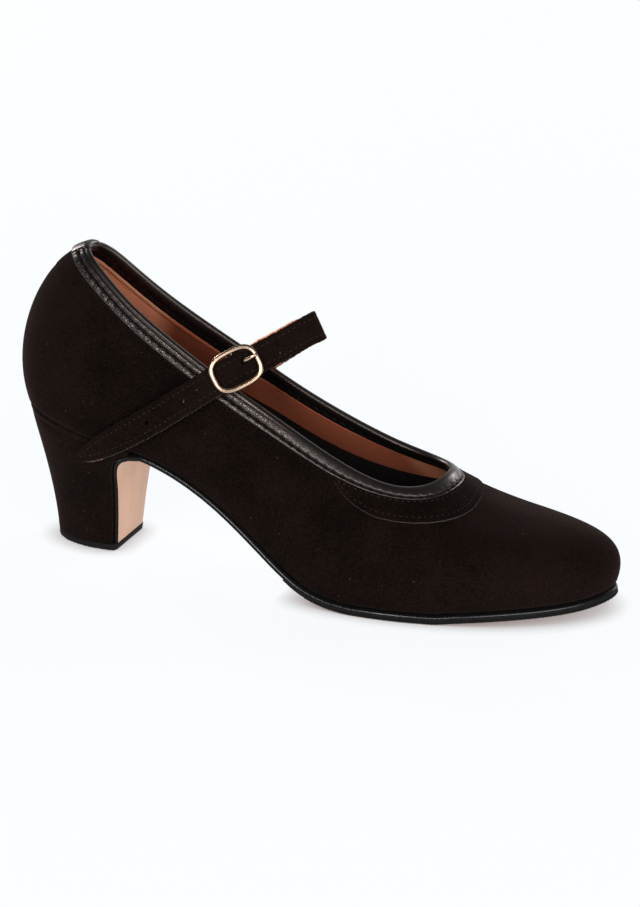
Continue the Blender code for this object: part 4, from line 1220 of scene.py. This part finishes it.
class FLAMENCO_OT_buckle(bpy.types.Operator):
    """Builds the pale gold buckle, its prong and the nappa loop that holds it"""

    bl_idname = "flamenco.build_buckle"
    bl_label = "Buckle"

    def execute(self, context):
        settings = context.scene.flamenco_shoe
        sizes = settings.buckle
        gold = finish("gold", settings)
        wire, bar = sizes.wire / MM, sizes.bar / MM
        strap_half_thick = settings.strap.thick / MM / 2
        half_long, half_wide = (sizes.long / MM - wire) / 2, (sizes.wide / MM - wire) / 2
        high = strap_half_thick + GAP + wire / 2
        _, way_along, way_across, way_out = strap_point(BUCKLE_AT)
        turn = np.linspace(0, 2 * math.pi, 180, endpoint=False)
        plan = np.stack(squared(turn, 2 / 3), -1) * [half_long, half_wide]
        step = np.linalg.norm(np.roll(plan, -1, 0) - plan, axis=1)
        at = np.concatenate([[0], np.cumsum(step)])
        even = np.linspace(0, at[-1], 180, endpoint=False)
        closed = np.concatenate([plan, plan[:1]])
        plan = np.stack([np.interp(even, at, closed[:, k]) for k in (0, 1)], -1)
        loop = np.array([at_buckle(a, b, high) for a, b in plan])
        rings = tube(loop, wire * 0.56, wire * 0.5, way_out, wrap=True, sides=20)
        thing = piece("buckle_frame_gold", loft(rings, wrap=True), [gold], sharp=80)
        bar_low = -strap_half_thick - 2 * GAP - sizes.tab_thick / MM - bar / 2
        leg = [(half_wide - 1.4, bar_low), (half_wide - 0.5, bar_low + 0.4), (half_wide, bar_low + 1.4),
               (half_wide, high)]
        bend = np.array([at_buckle(0, b, n) for b, n in [(-b, n) for b, n in leg[::-1]] + leg])
        centre_bar = piece("centre_bar", loft(tube(bend, bar / 2, bar / 2, way_along, sides=16)), [gold])
        combine(thing, centre_bar, "UNION")
        settle(thing, "pale_gold", "buckle_frame")
        prong = sizes.prong / MM
        around = bar / 2 + GAP + prong / 2
        angles = np.radians(np.linspace(150, 345, 12))
        hook = [(around * math.cos(a), bar_low + around * math.sin(a)) for a in angles]
        tip = high + 2.0
        reach = [(2.2, -2.6), (3.3, 0.0), (4.2, 2.1), (5.2, 3.3), (6.6, 4.0), (8.2, tip), (9.6, tip)]
        line = np.array([at_buckle(a, PRONG_SIDE, n) for a, n in hook + reach])
        run = np.linspace(0, 1, 110)
        line = open_spline(line, run * (len(line) - 1))
        taper = prong / 2 * np.sqrt(np.clip((1.006 - run) / 0.03, 0, 1))
        taper = np.minimum(taper, prong / 2 * (1.02 - 0.18 * run ** 6))
        rings = tube(line, taper, taper, way_across, sides=16)
        thing = piece("buckle_prong_gold", loft(rings), [gold], sharp=80)
        settle(thing, "pale_gold", "buckle_prong")
        self.build_loop(settings, bar_low)
        return {"FINISHED"}

    def build_loop(self, settings, bar_low):
        """The nappa loop: flat behind the strap, then round the centre bar, with a slot for the prong."""
        sizes = settings.buckle
        wide, thick = sizes.tab_wide / MM, sizes.tab_thick / MM
        under = [(-1, -0.7), (-0.96, -1), (0, -1), (0.96, -1), (1, -0.7)]
        sides = under + [(-a, -b) for a, b in under]
        centre, _, across, out = strap_frame(np.linspace(TAB_END, BUCKLE_AT, 70)[:-1])
        level = -settings.strap.thick / MM / 2 - GAP - thick / 2
        rings = [[c + w * a * wide / 2 + n * (level + b * thick / 2) for a, b in sides]
                 for c, w, n in zip(centre, across, out)]
        middle = sizes.bar / MM / 2 + GAP + thick / 2
        for angle in np.radians(np.linspace(90, -150, 60)):
            rings.append([at_buckle((middle + b * thick / 2) * math.cos(angle), a * wide / 2,
                                    bar_low + (middle + b * thick / 2) * math.sin(angle)) for a, b in sides])
        thing = piece("buckle_loop_nappa", loft(rings), [finish("nappa", settings)], sharp=60)
        slot = sizes.prong / MM / 2 + 0.5
        corners = [(-slot, -8), (slot, -8), (slot, 1), (-slot, 1)]
        box = [[at_buckle(a, PRONG_SIDE + b, n) for b, n in corners] for a in (-4.5, 5)]
        combine(thing, piece("prong_slot", loft(box), []), "DIFFERENCE")
        settle(thing, "nappa", "buckle_tab")


class FLAMENCO_OT_stage(bpy.types.Operator):
    """Sets the white floor, the soft boxes and the camera"""

    bl_idname = "flamenco.build_stage"
    bl_label = "Stage"

    # The camera: where it stands in pattern millimetres, and its way round, height and roll in degrees
    STANDS = (545.0, -1140.0, 489.6)
    ROUND = 20.1934
    HIGH = 20.0
    ROLL = 1.1163

    # Soft boxes: way from the shoe, distance and width in metres, and the setting that holds the power
    BOXES = {
        "key_box": ((-0.10, -0.93, 0.35), 1.8, 0.55, "key"),
        "side_box": ((0.62, -0.73, 0.28), 1.6, 1.3, "side"),
        "rim_box": ((-0.80, 0.41, 0.44), 1.8, 0.5, "rim"),
        "back_box": ((0.42, 0.80, 0.42), 1.8, 0.5, "back"),
        "backdrop": ((0.10, 0.96, 0.26), 2.2, 2.4, "drop"),
    }

    def execute(self, context):
        settings = context.scene.flamenco_shoe
        stage = settings.stage
        scene = context.scene
        self.lay_floor(stage)
        for name, (way, far, size, setting) in self.BOXES.items():
            light = bpy.data.lights.new(name, "AREA")
            light.size = size
            light.energy = getattr(stage, setting)
            lamp = bpy.data.objects.new(name, light)
            way = Vector(way).normalized()
            lamp.location = way * far + Vector((0, 0, 0.05))
            lamp.rotation_euler = way.to_track_quat("Z", "Y").to_euler()
            scene.collection.objects.link(lamp)
        world = bpy.data.worlds.new("studio")
        world.use_nodes = True
        self.paint_room(world.node_tree, stage)
        scene.world = world
        scene.view_settings.view_transform = "Standard"
        camera = bpy.data.cameras.new("camera")
        camera.lens = stage.lens
        camera.sensor_width = 36
        camera.clip_end = 50
        eye = bpy.data.objects.new("camera", camera)
        stands = Matrix.Translation(Vector(np.array(self.STANDS) * MM + SHIFT))
        turns = ((self.ROUND, "Z"), (90 - self.HIGH, "X"), (self.ROLL, "Z"))
        ways = [Matrix.Rotation(math.radians(angle), 4, axis) for angle, axis in turns]
        eye.matrix_world = stands @ ways[0] @ ways[1] @ ways[2]
        scene.collection.objects.link(eye)
        scene.camera = eye
        return {"FINISHED"}

    def paint_room(self, tree, stage):
        """A dim room for the light, behind it the same white as the floor for the eye."""
        room = tree.nodes["Background"]
        room.inputs["Color"].default_value = opaque(linear("f6f8fb"))
        room.inputs["Strength"].default_value = stage.room
        white = opaque(linear("f9fcff"))
        wall = add_node(tree, "ShaderNodeBackground", ins={"Color": white, "Strength": 1.0})
        eye = add_node(tree, "ShaderNodeLightPath")
        both = add_node(tree, "ShaderNodeMixShader", ins={
            0: eye.outputs["Is Camera Ray"], 1: room.outputs[0], 2: wall.outputs[0]})
        tree.links.new(both.outputs[0], tree.nodes["World Output"].inputs["Surface"])

    def lay_floor(self, stage):
        """White paper that glows like a light table lit from below; a painted contact shadow darkens its glow
        warmly close under the shoe.
        """
        coat, tree, shader, here = start_finish("white paper", Roughness=0.9, Specular_IOR_Level=0.0)
        white = blend(tree, noise(tree, here, 0.002, 2), opaque(stage.floor, 0.98), opaque(stage.floor))
        tree.links.new(white, shader.inputs["Base Color"])
        # Painted contact shadow: ambient occlusion darkens the glow warmly where the shoe is close
        near = add_node(tree, "ShaderNodeAmbientOcclusion", {"samples": 6}, {"Distance": 0.009})
        shadow, open_paper = (0.30, 0.235, 0.215, 1), (0.955, 0.978, 1.0, 1)
        glow = blend(tree, near.outputs["AO"], shadow, open_paper)
        tree.links.new(glow, shader.inputs["Emission Color"])
        shader.inputs["Emission Strength"].default_value = stage.glow
        half = 12.0
        mesh = bpy.data.meshes.new("floor")
        corners = [(-half, -half, 0), (half, -half, 0), (half, half, 0), (-half, half, 0)]
        mesh.from_pydata(corners, [], [(0, 1, 2, 3)])
        mesh.materials.append(coat)
        floor = bpy.data.objects.new("floor", mesh)
        bpy.context.scene.collection.objects.link(floor)


BUILDERS = (
    FLAMENCO_OT_upper, FLAMENCO_OT_binding, FLAMENCO_OT_overlay, FLAMENCO_OT_sole,
    FLAMENCO_OT_heel, FLAMENCO_OT_strap, FLAMENCO_OT_buckle, FLAMENCO_OT_stage,
)


class FLAMENCO_PT_shoe(bpy.types.Panel):
    """Lists the shoe's pieces and their sizes"""

    bl_idname = "FLAMENCO_PT_shoe"
    bl_label = "Flamenco shoe"
    bl_space_type = "VIEW_3D"
    bl_region_type = "UI"
    bl_category = "Flamenco"

    def draw(self, context):
        settings = context.scene.flamenco_shoe
        for builder in BUILDERS:
            self.layout.operator(builder.bl_idname)
        for group in ShoeSettings.__annotations__:
            box = self.layout.box()
            values = getattr(settings, group)
            for name in type(values).__annotations__:
                box.prop(values, name)


CLASSES = (
    UpperSizes, BindingSizes, StrapSizes, SoleSizes, BuckleSizes, Colours, StageSettings, ShoeSettings,
    *BUILDERS, FLAMENCO_PT_shoe,
)


def register():
    for kind in CLASSES:
        bpy.utils.register_class(kind)
    bpy.types.Scene.flamenco_shoe = PointerProperty(type=ShoeSettings)


def unregister():
    del bpy.types.Scene.flamenco_shoe
    for kind in reversed(CLASSES):
        bpy.utils.unregister_class(kind)


def main():
    register()
    bpy.ops.flamenco.build_upper()
    bpy.ops.flamenco.build_binding()
    bpy.ops.flamenco.build_overlay()
    bpy.ops.flamenco.build_sole()
    bpy.ops.flamenco.build_heel()
    bpy.ops.flamenco.build_strap()
    bpy.ops.flamenco.build_buckle()
    bpy.ops.flamenco.build_stage()


if __name__ == "__main__":
    main()
